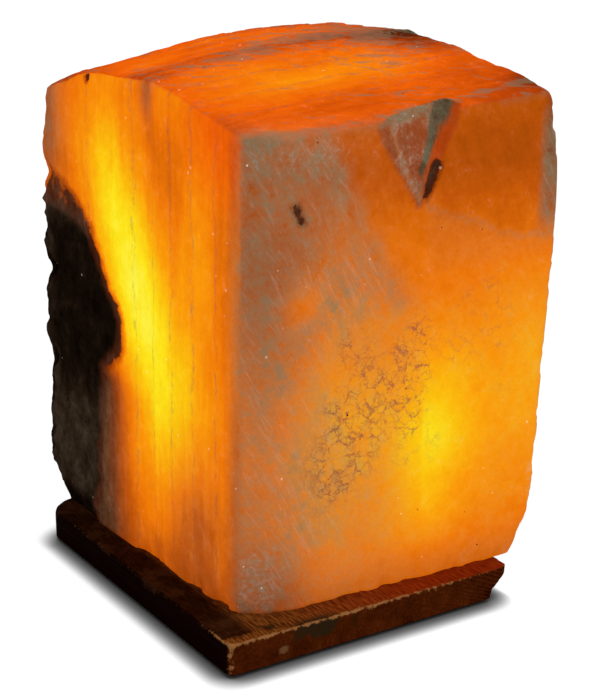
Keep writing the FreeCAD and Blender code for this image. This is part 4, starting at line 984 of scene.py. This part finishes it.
# the top edges are worn bare; along the front the rim is made paler still, partly wear and partly a painted
# highlight where the rock's glow catches it
front_edge_highlight = step(-points[:, 1], 90, 115) * (1 - 0.8 * step(points[:, 0], -10, 60))
worn = np.clip(rim * (0.35 + 0.65 * front_edge_highlight) + corner, 0, 1)
# painted shade: the left and back sides are marked to be made nearly black; the top's left end is darkened with them
dark = np.clip(step(-points[:, 0], 99.0, 99.9) + step(points[:, 1], 93.5, 94.8), 0, 1)
on_top = (points[:, 2] > 17.2) & (points[:, 1] > -112)
dark = np.clip(dark + on_top * step(-points[:, 0], 78, 86) * 0.9, 0, 1)
on_front = step(-points[:, 1], 112, 117)
dirty = on_front * step(bump(points[:, [0, 2]], (-50, 15), (12, 6)) + 0.5 * rough(points, 7, 3, 141), 0.3, 0.6)
chipped = on_front * step(
    bump(points[:, [0, 2]], (-70, 8), (3.4, 2.6)) + 0.3 * rough(points, 3, 2, 143), 0.45, 0.7)
board = closed_mesh(
    "board", points, grid_faces(len(points) // columns, columns, wrap_rows=True).tolist(),
    worn=worn, dark=dark, dirty=dirty, chipped=chipped)

cutters = [
    turned("hole", place, [(4.75, 1.0), (4.75, 2.4), (2.5, 5.0), (2.5, 20.0)])
    for place in plug_places
]
channel = [(x, y, z) for z in (1.0, bore_step) for x, y in (
    (-12.5, 5.0), (-3.5, 5.0), (-3.5, 99.0), (-12.5, 99.0))]
cutters.append(closed_mesh("channel", channel, [
    (3, 2, 1, 0), (4, 5, 6, 7), (0, 1, 5, 4), (1, 2, 6, 5), (2, 3, 7, 6), (3, 0, 4, 7)]))
hollowed(board, cutters)


def wood_finish(tree):
    evenly = place(tree, (1, 1, 1))
    split = add(tree, "ShaderNodeSeparateXYZ", {0: evenly})
    across, height = split.outputs["X"], split.outputs["Z"]
    # growth rings round a pith that runs along the board, under its right half
    centred = place(tree, (1, 0.06, 1), shift=(-0.035, 0, 0.075))
    bent = add(tree, "ShaderNodeTexNoise", {"Vector": centred, "Scale": 9.0, "Detail": 3.0})
    bent = add(tree, "ShaderNodeVectorMath", {0: bent.outputs["Color"], "Scale": 0.030}, operation="SCALE")
    ringed = add(tree, "ShaderNodeVectorMath", {0: centred, 1: bent.outputs[0]}, operation="ADD")
    flat = add(tree, "ShaderNodeVectorMath", {0: ringed.outputs[0], 1: (1, 0, 1)}, operation="MULTIPLY")
    radius = add(tree, "ShaderNodeVectorMath", {0: flat.outputs[0]}, operation="LENGTH").outputs["Value"]
    ring = calc(tree, "FRACT", calc(tree, "MULTIPLY", radius, 520.0))
    ring = calc(tree, "POWER", ring, 2.2)
    ring = calc(tree, "MULTIPLY", ring, span(tree, across, 0.025, 0.07, 0.04, 1.0))
    fibre = cloud(tree, place(tree, (620, 26, 620)), 1.0, 4, 0.6)
    broad = cloud(tree, place(tree, (90, 9, 90), shift=(2, 0, 5)), 1.0, 3)
    blotch = cloud(tree, evenly, 46, 5, 0.65)
    hatch = cloud(tree, place(tree, (1500, 110, 1500), shift=(1, 6, 2)), 1.0, 2)

    tone = calc(tree, "MULTIPLY_ADD", fibre, 0.45, calc(tree, "MULTIPLY", broad, 0.45))
    tone = calc(tree, "MULTIPLY_ADD", ring, -0.30, calc(tree, "MULTIPLY_ADD", blotch, 0.40, tone))
    colour = stops(tree, tone, [
        (0.40, (0.012, 0.0016, 0.0003)), (0.55, (0.038, 0.0056, 0.0006)), (0.68, (0.060, 0.010, 0.0009)),
        (0.85, (0.105, 0.021, 0.003)),
    ])
    # the sawn top: golden at the left end, redder towards the right and lighter than the sides, partly its own
    # colour and partly the rock's glow painted on it
    sawn = span(tree, height, 0.0174, 0.0180)
    golden = tint(tree, span(tree, hatch, 0.40, 0.62), (0.080, 0.018, 0.0026, 1), (0.26, 0.080, 0.014, 1))
    ruddy = tint(tree, span(tree, hatch, 0.40, 0.62), (0.150, 0.0125, 0.0012, 1), (0.27, 0.034, 0.0030, 1))
    top = tint(tree, span(tree, across, -0.075, 0.03), golden, ruddy)
    colour = tint(tree, calc(tree, "MULTIPLY", sawn, 0.85), colour, top)
    # painted shade: the left and back sides are made nearly black, scuffed brown along their upper edge; the top's
    # left end is darkened with them
    dark = carried(tree, "dark")
    scuffed = span(tree, calc(tree, "MULTIPLY_ADD", height, 30.0, blotch), 1.02, 1.16, 0.0, 0.55)
    painted_shade_colour = tint(tree, scuffed, (0.0045, 0.0007, 0.0002, 1), (0.045, 0.014, 0.005, 1))
    colour = tint(tree, dark, colour, painted_shade_colour)
    stain = calc(tree, "MULTIPLY", span(tree, blotch, 0.56, 0.66, 0.0, 0.85), calc(tree, "SUBTRACT", 1.0, dark))
    stain = calc(tree, "MULTIPLY", stain, span(tree, across, -0.01, -0.04, 0.15, 1.0))
    colour = tint(tree, stain, colour, (0.010, 0.0075, 0.0022, 1))
    colour = tint(tree, calc(tree, "MULTIPLY", carried(tree, "dirty"), 0.8), colour, (0.016, 0.013, 0.005, 1))
    colour = tint(tree, calc(tree, "MULTIPLY", carried(tree, "chipped"), 0.7), colour, (0.16, 0.075, 0.030, 1))
    # bare wood on the worn edges, and along the front top edge the same pale colour as a painted highlight
    worn = calc(tree, "SUBTRACT", cloud(tree, evenly, 300, 6, 0.75), 0.5)
    worn = calc(tree, "MULTIPLY_ADD", worn, 3.4, carried(tree, "worn"))
    worn = span(tree, worn, 0.56, 0.92)
    bare_and_highlight = tint(tree, fibre, (0.16, 0.045, 0.010, 1), (0.40, 0.19, 0.065, 1))
    colour = tint(tree, worn, colour, bare_and_highlight)

    relief = calc(tree, "MULTIPLY_ADD", ring, -0.25, fibre)
    relief = calc(tree, "MULTIPLY_ADD", cloud(tree, place(tree, (30, 600, 600)), 1.0, 2), 0.25, relief)
    relief = calc(tree, "MULTIPLY_ADD", worn, -0.4, relief)
    bumped = add(tree, "ShaderNodeBump", {"Height": relief, "Strength": 0.5, "Distance": 0.0005})
    rough_part = calc(tree, "MULTIPLY_ADD", worn, 0.25, span(tree, fibre, 0.3, 0.7, 0.36, 0.52))
    return {
        "Base Color": colour,
        "Roughness": rough_part,
        "Specular IOR Level": 0.0,
        "Coat Weight": calc(tree, "MULTIPLY", span(tree, fibre, 0.3, 0.7), 0.012),
        "Coat Roughness": 0.3,
        "Normal": bumped.outputs[0],
    }


board.data.materials.clear()
board.data.materials.append(principled("dark_wood", wood_finish))
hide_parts("wood_base")
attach(board, "stand")

# ------------------------------------------------------------------------------------------
# Feet: four soft rubber discs stuck under the board, dusty and a little scuffed from standing.
# ------------------------------------------------------------------------------------------

def handling_group():
    """The traces that hands, tools and dust leave on small parts. Grain is fine noise, Scratches
    are thin lines lying every way, Smudges are broad soft patches; all run from 0 to 1."""
    group = bpy.data.node_groups.new("handling", "ShaderNodeTree")
    size = group.interface.new_socket("Scale", in_out="INPUT", socket_type="NodeSocketFloat")
    size.default_value = 1.0
    for name in ("Grain", "Scratches", "Smudges"):
        group.interface.new_socket(name, in_out="OUTPUT", socket_type="NodeSocketFloat")
    given = add(group, "NodeGroupInput")
    where = add(group, "ShaderNodeVectorMath", {
        0: add(group, "ShaderNodeTexCoord").outputs["Object"], "Scale": given.outputs["Scale"],
    }, operation="SCALE").outputs[0]
    lines = []
    for scale in ((2600, 60, 200), (90, 2400, 150), (200, 120, 2600)):
        spread = add(group, "ShaderNodeVectorMath", {0: where, 1: scale}, operation="MULTIPLY")
        lines.append(span(group, cloud(group, spread.outputs[0], 1.0, 2), 0.64, 0.72))
    scratches = calc(group, "MAXIMUM", calc(group, "MAXIMUM", lines[0], lines[1]), lines[2])
    add(group, "NodeGroupOutput", {
        "Grain": cloud(group, where, 1500, 3, 0.6),
        "Scratches": scratches,
        "Smudges": cloud(group, where, 160, 4, 0.55),
    })
    return group


handling = handling_group()


def handled(tree, scale=1.0):
    """Places the handling group and gives its grain, scratches and smudges."""
    traces = add(tree, "ShaderNodeGroup", node_tree=handling)
    traces.inputs["Scale"].default_value = scale
    return traces.outputs["Grain"], traces.outputs["Scratches"], traces.outputs["Smudges"]


def rubber_finish(tree):
    grain, scratches, smudges = handled(tree)
    colour = tint(tree, span(tree, smudges, 0.4, 0.7), (0.012, 0.012, 0.013, 1), (0.055, 0.052, 0.048, 1))
    colour = tint(tree, calc(tree, "MULTIPLY", scratches, 0.5), colour, (0.09, 0.085, 0.08, 1))
    bumped = add(tree, "ShaderNodeBump", {"Height": grain, "Strength": 0.5, "Distance": 0.0004})
    return {
        "Base Color": colour,
        "Roughness": span(tree, smudges, 0.3, 0.7, 0.65, 0.9),
        "Normal": bumped.outputs[0],
    }


def dressed(names, material):
    """Gives CAD nodes their finish in the slots that their meshes already have."""
    for name in names:
        for number in range(max(1, len(nodes[name].material_slots))):
            if nodes[name].material_slots:
                nodes[name].material_slots[number].material = material
            else:
                nodes[name].data.materials.append(material)


dressed(["feet"], principled("foot_rubber", rubber_finish))

# ------------------------------------------------------------------------------------------
# Screws and plugs: four zinc-plated countersunk screws hold the board to the rock. They bite in
# ribbed nylon plugs set in drilled sockets; smaller ones of the same kind clamp the terminals.
# ------------------------------------------------------------------------------------------

def metal(bright, dull, low, high, scale=1.0):
    """A metal finish: two colours mottled by smudges, brighter in the scratches, with its
    roughness between low and high."""
    def finish(tree):
        grain, scratches, smudges = handled(tree, scale)
        colour = tint(tree, span(tree, smudges, 0.35, 0.7), (*bright, 1), (*dull, 1))
        colour = tint(tree, calc(tree, "MULTIPLY", scratches, 0.4), colour, (*(min(1, c * 1.3) for c in bright), 1))
        height = calc(tree, "MULTIPLY_ADD", scratches, -0.5, grain)
        bumped = add(tree, "ShaderNodeBump", {"Height": height, "Strength": 0.25, "Distance": 0.0002})
        return {
            "Base Color": colour,
            "Metallic": 1.0,
            "Roughness": calc(tree, "MULTIPLY_ADD", scratches, 0.1, span(tree, smudges, 0.3, 0.7, low, high)),
            "Normal": bumped.outputs[0],
        }
    return finish


def moulded(colour, streak, low, high, strength=0.2):
    """A moulded finish: a body colour, paler in streaks and scratches, over a fine texture."""
    def finish(tree):
        grain, scratches, smudges = handled(tree)
        shown = tint(tree, span(tree, smudges, 0.35, 0.75), (*colour, 1), (*streak, 1))
        shown = tint(tree, calc(tree, "MULTIPLY", scratches, 0.35), shown, (*(c * 0.5 + 0.1 for c in streak), 1))
        bumped = add(tree, "ShaderNodeBump", {"Height": grain, "Strength": strength, "Distance": 0.0003})
        return {
            "Base Color": shown,
            "Roughness": calc(tree, "MULTIPLY_ADD", scratches, 0.15, span(tree, smudges, 0.3, 0.7, low, high)),
            "Normal": bumped.outputs[0],
        }
    return finish


dressed(["base_screws", "terminal_screws"], principled(
    "screw_steel", metal((0.62, 0.60, 0.52), (0.40, 0.38, 0.33), 0.25, 0.42)))
dressed(["salt_plugs"], principled(
    "plug_nylon", moulded((0.36, 0.36, 0.33), (0.46, 0.45, 0.41), 0.38, 0.55)))

# ------------------------------------------------------------------------------------------
# Lamp holder: a black moulded cap and body on a steatite insert, held in the board's bore by two
# spring-steel clips, with a brass screw sleeve, contacts, rivets and terminal blocks inside.
# ------------------------------------------------------------------------------------------

dressed(["holder_cap", "holder_body"], principled(
    "holder_plastic", moulded((0.010, 0.010, 0.011), (0.020, 0.019, 0.018), 0.30, 0.46, 0.3)))


def steatite_finish(tree):
    grain, scratches, smudges = handled(tree)
    colour = tint(tree, span(tree, smudges, 0.3, 0.7), (0.74, 0.69, 0.58, 1), (0.66, 0.59, 0.47, 1))
    fired = add(tree, "ShaderNodeTexVoronoi", {"Vector": place(tree, (1, 1, 1)), "Scale": 900.0}).outputs["Distance"]
    speck = span(tree, fired, 0.0, 0.12, 1.0, 0.0)
    colour = tint(tree, calc(tree, "MULTIPLY", speck, 0.45), colour, (0.22, 0.17, 0.11, 1))
    bumped = add(tree, "ShaderNodeBump", {"Height": grain, "Strength": 0.4, "Distance": 0.0003})
    return {
        "Base Color": colour,
        "Roughness": calc(tree, "MULTIPLY_ADD", scratches, 0.1, span(tree, smudges, 0.3, 0.7, 0.5, 0.7)),
        "Normal": bumped.outputs[0],
    }


dressed(["holder_insert"], principled("steatite", steatite_finish))
dressed(
    ["screw_sleeve", "centre_contact", "side_contact", "contact_rivets", "terminal_blocks", "bulb_cap"],
    principled("brass", metal((0.80, 0.60, 0.28), (0.48, 0.31, 0.12), 0.2, 0.4)))
dressed(["spring_clips"], principled(
    "spring_steel", metal((0.50, 0.51, 0.54), (0.26, 0.25, 0.27), 0.22, 0.38)))

# ------------------------------------------------------------------------------------------
# Lamp: a small clear pear-shaped bulb on a screw cap. A glass stem carries the nickel leads and
# supports and the coiled tungsten filament, which glows; black glass insulates the tip contact.
# ------------------------------------------------------------------------------------------

def glass_finish(tree):
    grain, scratches, smudges = handled(tree, 0.5)
    dust = calc(tree, "MULTIPLY", span(tree, smudges, 0.5, 0.8), 0.06)
    bumped = add(tree, "ShaderNodeBump", {"Height": smudges, "Strength": 0.05, "Distance": 0.0004})
    return {
        "Base Color": tint(tree, smudges, (0.99, 0.99, 0.98, 1), (0.93, 0.95, 0.94, 1)),
        "Roughness": calc(tree, "MULTIPLY_ADD", scratches, 0.03, dust),
        "IOR": 1.5,
        "Transmission Weight": 1.0,
        "Normal": bumped.outputs[0],
    }


dressed(["bulb_glass", "bulb_stem"], principled("clear_glass", glass_finish))
dressed(["bulb_insulator"], principled(
    "black_glass", moulded((0.010, 0.007, 0.014), (0.020, 0.014, 0.026), 0.06, 0.16, 0.1)))
dressed(["bulb_contact"], principled(
    "solder", metal((0.66, 0.67, 0.68), (0.40, 0.40, 0.42), 0.3, 0.55, 2.0)))
dressed(["lead_wires", "support_wires"], principled(
    "nickel_wire", metal((0.66, 0.63, 0.58), (0.46, 0.43, 0.38), 0.25, 0.4, 2.0)))


def filament_finish(tree):
    grain, scratches, smudges = handled(tree, 3.0)
    return {
        "Base Color": tint(tree, smudges, (0.25, 0.23, 0.20, 1), (0.12, 0.11, 0.10, 1)),
        "Metallic": 1.0,
        "Roughness": span(tree, grain, 0.3, 0.7, 0.3, 0.5),
        "Emission Color": tint(tree, smudges, (1.0, 0.62, 0.25, 1), (1.0, 0.74, 0.38, 1)),
        "Emission Strength": 6.0,
    }


dressed(["filament"], principled("tungsten", filament_finish))
